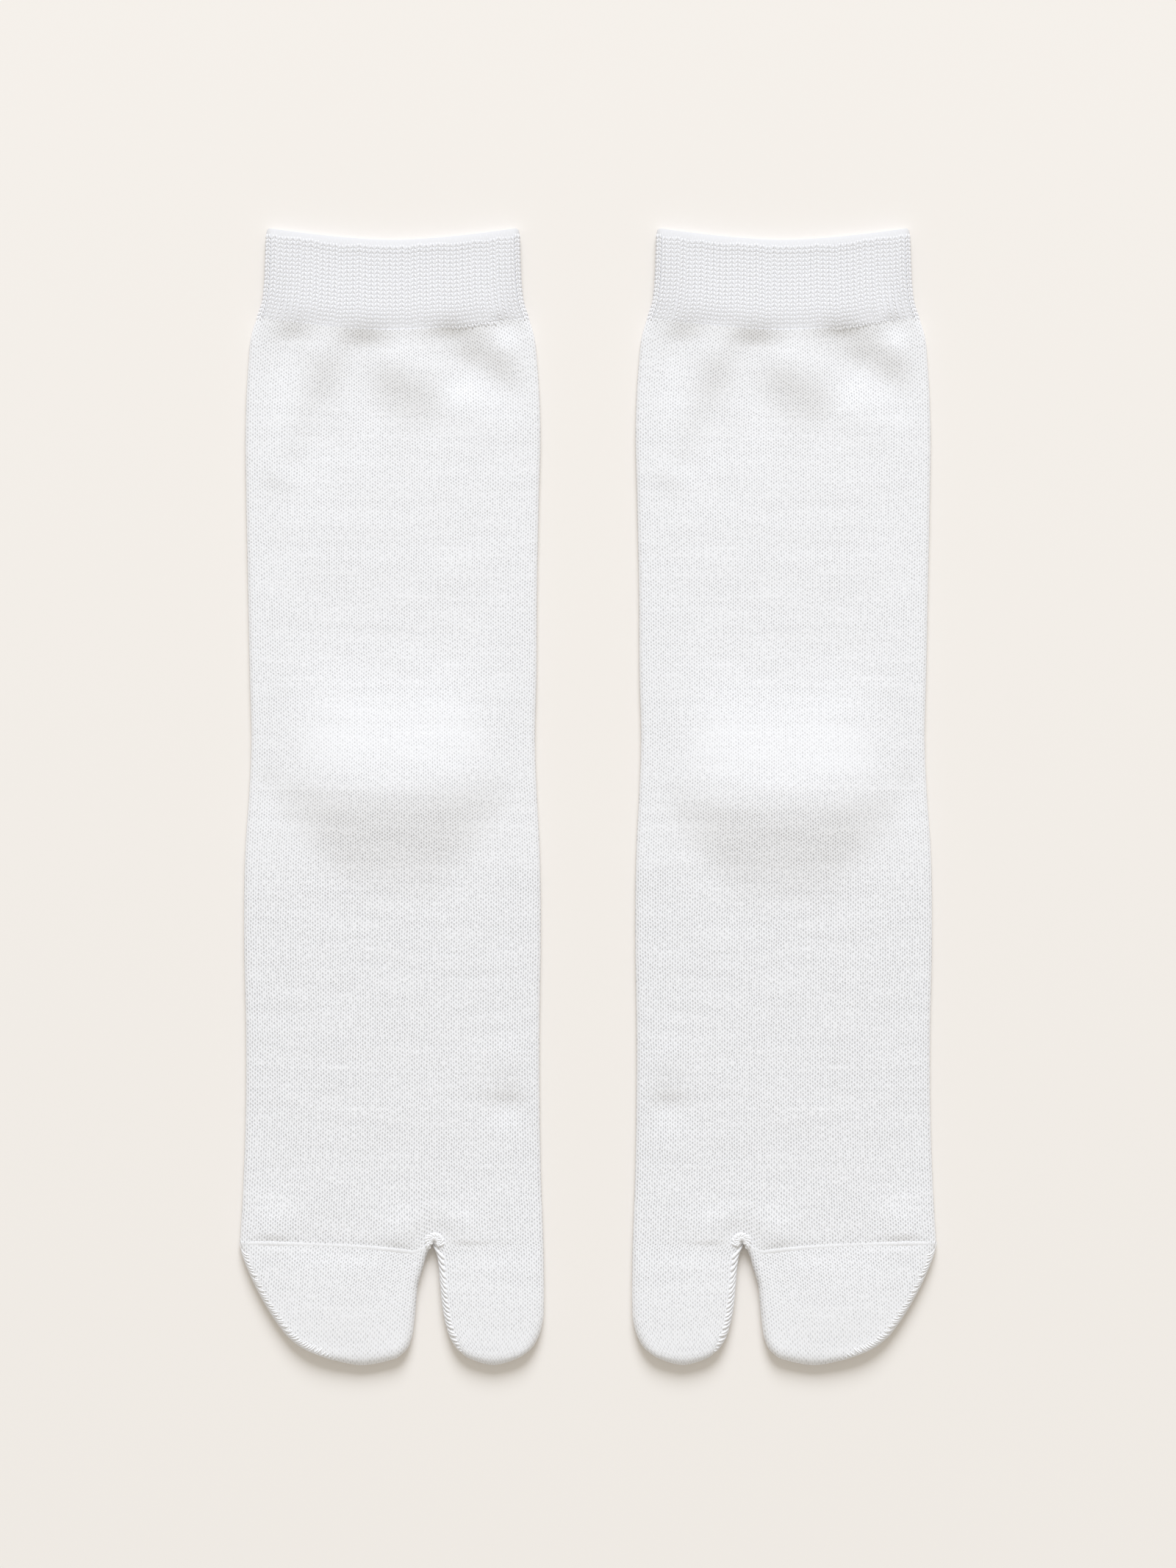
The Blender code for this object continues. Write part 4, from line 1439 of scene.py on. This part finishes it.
# %% [markdown]
# ## The toe seam and the knot at the crotch
#
# Where the pocket is sewn on, short stitches lie side by side over its edge and make
# one low ridge. Above them the seam opens in small holes, which the shader paints dark with
# shade. At the crotch the seams of both toes end in an arch of tight loops.

# %% Stitches of the toe seam
SEAM_STITCH = [
    # over the seam  the thread's crown over the cloth
    (0.35, 0.02),
    (-0.05, 0.10),
    (-0.55, 0.08),
    (-1.15, -0.08),
]
SEAM_REACH = 1.3       # the cloth's height is taken so far above and below the seam,
SEAM_GUESS = 4.4       # from this height down
SEAM_SLANT = 0.15      # the stitches lean to the left by this for each millimetre up
SEAM_FROM, SEAM_TO = -50.4, CROTCH_X - 0.9
SEAM_CORNER = (0.6, 3.5)      # at its start they are this share as thick, over this length
SEAM_GIRTH, SEAM_SHIFT, SEAM_PITCH = (0.48, 0.60), (-0.10, 0.10), (0.48, 0.72)


def seam_threads(seed):
    """Short thick stitches, side by side over the pocket's edge, make one soft ridge."""
    random = np.random.default_rng(seed)
    threads, x = [], SEAM_FROM
    while x < SEAM_TO:
        girth, shift = random.uniform(*SEAM_GIRTH), random.uniform(*SEAM_SHIFT)
        girth *= lerp(SEAM_CORNER[0], 1.0, smooth((x - SEAM_FROM) / SEAM_CORNER[1]))
        middle = seam_y(x) + shift
        above = on_cloth(x, middle + SEAM_REACH, SEAM_GUESS, 0.0)[2]
        below = on_cloth(x, middle - SEAM_REACH, SEAM_GUESS, 0.0)[2]
        points = []
        for up, crown in SEAM_STITCH:
            cloth = lerp(below, above, (up + SEAM_REACH) / SEAM_REACH / 2)
            points.append((x - SEAM_SLANT * up, middle + up, cloth + crown - girth))
        threads.append(Path(points, [girth] * len(points)))
        x += random.uniform(*SEAM_PITCH)
    return threads


seam = seam_threads(seed=21)
print("seam stitches:", len(seam))

# %% The knot at the crotch
KNOT_X, KNOT_Y = CROTCH_X + 0.4, CROTCH_Y + 0.6
KNOT_ROWS = ((0.5, 2.1, 46.0, 0.0), (1.7, 3.3, -40.0, 12.0))    # near, far, lean, shift
KNOT_LOOPS = np.arange(200, -32, -23)      # where they stand round it, in degrees
KNOT_GUESS, KNOT_SLOPE = 3.4, 0.4          # height at its middle, and how it rises outwards
KNOT_TURN, KNOT_REACH = (-4, 4), (0.98, 1.02)
KNOT_GIRTH, KNOT_POINTS = (0.42, 0.50), 5


def knot_threads(seed):
    """Two arches of small loops round the crotch, leaning against each other like a braid."""
    random = np.random.default_rng(seed)
    threads = []
    for near, far, lean, shift in KNOT_ROWS:
        for degrees in KNOT_LOOPS:
            turn = math.radians(degrees + shift + random.uniform(*KNOT_TURN))
            guesses = []
            for share in np.linspace(0, 1, KNOT_POINTS):
                angle = turn - math.radians(lean) * (share - 0.5)
                reach = lerp(near, far, share) * random.uniform(*KNOT_REACH)
                x = KNOT_X + reach * math.cos(angle)
                y = KNOT_Y + reach * math.sin(angle)
                guesses.append((x, y, KNOT_GUESS + reach * KNOT_SLOPE))
            threads.append(thread(guesses, random.uniform(*KNOT_GIRTH), lift=0.0))
    return threads


knot = knot_threads(seed=22)
print("knot loops:", len(knot))

# %% Lay all the threads
laid = {"Sides": 7, "Steps": 2, "Material": YARN}
for foot, side in FEET.items():
    for name, paths in (("_split_rope", rope), ("_pocket_overlock", overlock),
                        ("_toe_seam", seam), ("_crotch_knot", knot)):
        run_tree(foot + name, side, paths, THREADING, laid)

# %% [markdown]
# ## Each shell takes its part's place
#
# Each shell stands for its solid. It is attached to the root body, and the part it stands for is
# hidden.


REPLACED = {"_tube": legs, "_toe_pocket": pockets, "_cuff": cuffs}
for node_end, made in REPLACED.items():
    for foot, piece in made.items():
        node = foot + node_end
        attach(piece, "root")
        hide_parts(node)

# %% [markdown]
# ## Floor, light and camera
#
# White on cream needs soft light, mostly from the far end, so that each fold's near
# side is only a little darker and the toes cast a short shadow.

# %% Floor
FLOOR_SIZE = 4.0
FLOOR_DROP = 0.0001    # the floor is just under the cloth
bpy.ops.mesh.primitive_plane_add(size=FLOOR_SIZE, location=(0, 0, -FLOOR_DROP))
floor = bpy.context.object
floor.name = "floor"
PAPER = {"Base Color": (0.895, 0.855, 0.811, 1), "Roughness": 0.95}
floor.data.materials.append(material_of("cream paper", PAPER)[0])
print("floor:", FLOOR_SIZE, "m wide")

# %% Light
SKY = {"Color": (1.0, 0.955, 0.87, 1), "Strength": 0.55}
world = bpy.data.worlds.new("studio")
bpy.context.scene.world = world
world.use_nodes = True
for socket, value in SKY.items():
    world.node_tree.nodes["Background"].inputs[socket].default_value = value

data = bpy.data.lights.new("window", "AREA")
data.shape = "DISK"
data.size = 4.9
data.energy = 824.1
data.color = (0.8756, 0.9224, 1.0)
window = in_scene("window", data)
window.location = (0.15, 7.7, 5.05)
window.rotation_euler = (-window.location).to_track_quat("-Z", "Y").to_euler()
print("the window is", round(window.location.length, 1), "m away")

# %% Camera
FRAME_HEIGHT = 0.525   # metres of floor from the frame's top to its bottom
FRAME_MIDDLE_Y = 0.0042
LENS = 100.0
SENSOR = 36.0
camera = in_scene("camera", bpy.data.cameras.new("camera"))
camera.data.lens = LENS
camera.data.sensor_width = SENSOR
camera.data.sensor_fit = "AUTO"
camera.location = (0, FRAME_MIDDLE_Y, FRAME_HEIGHT * LENS / SENSOR)
bpy.context.scene.camera = camera
bpy.context.scene.view_settings.view_transform = "Standard"
print("the camera hangs", round(camera.location.z, 2), "m above the floor")
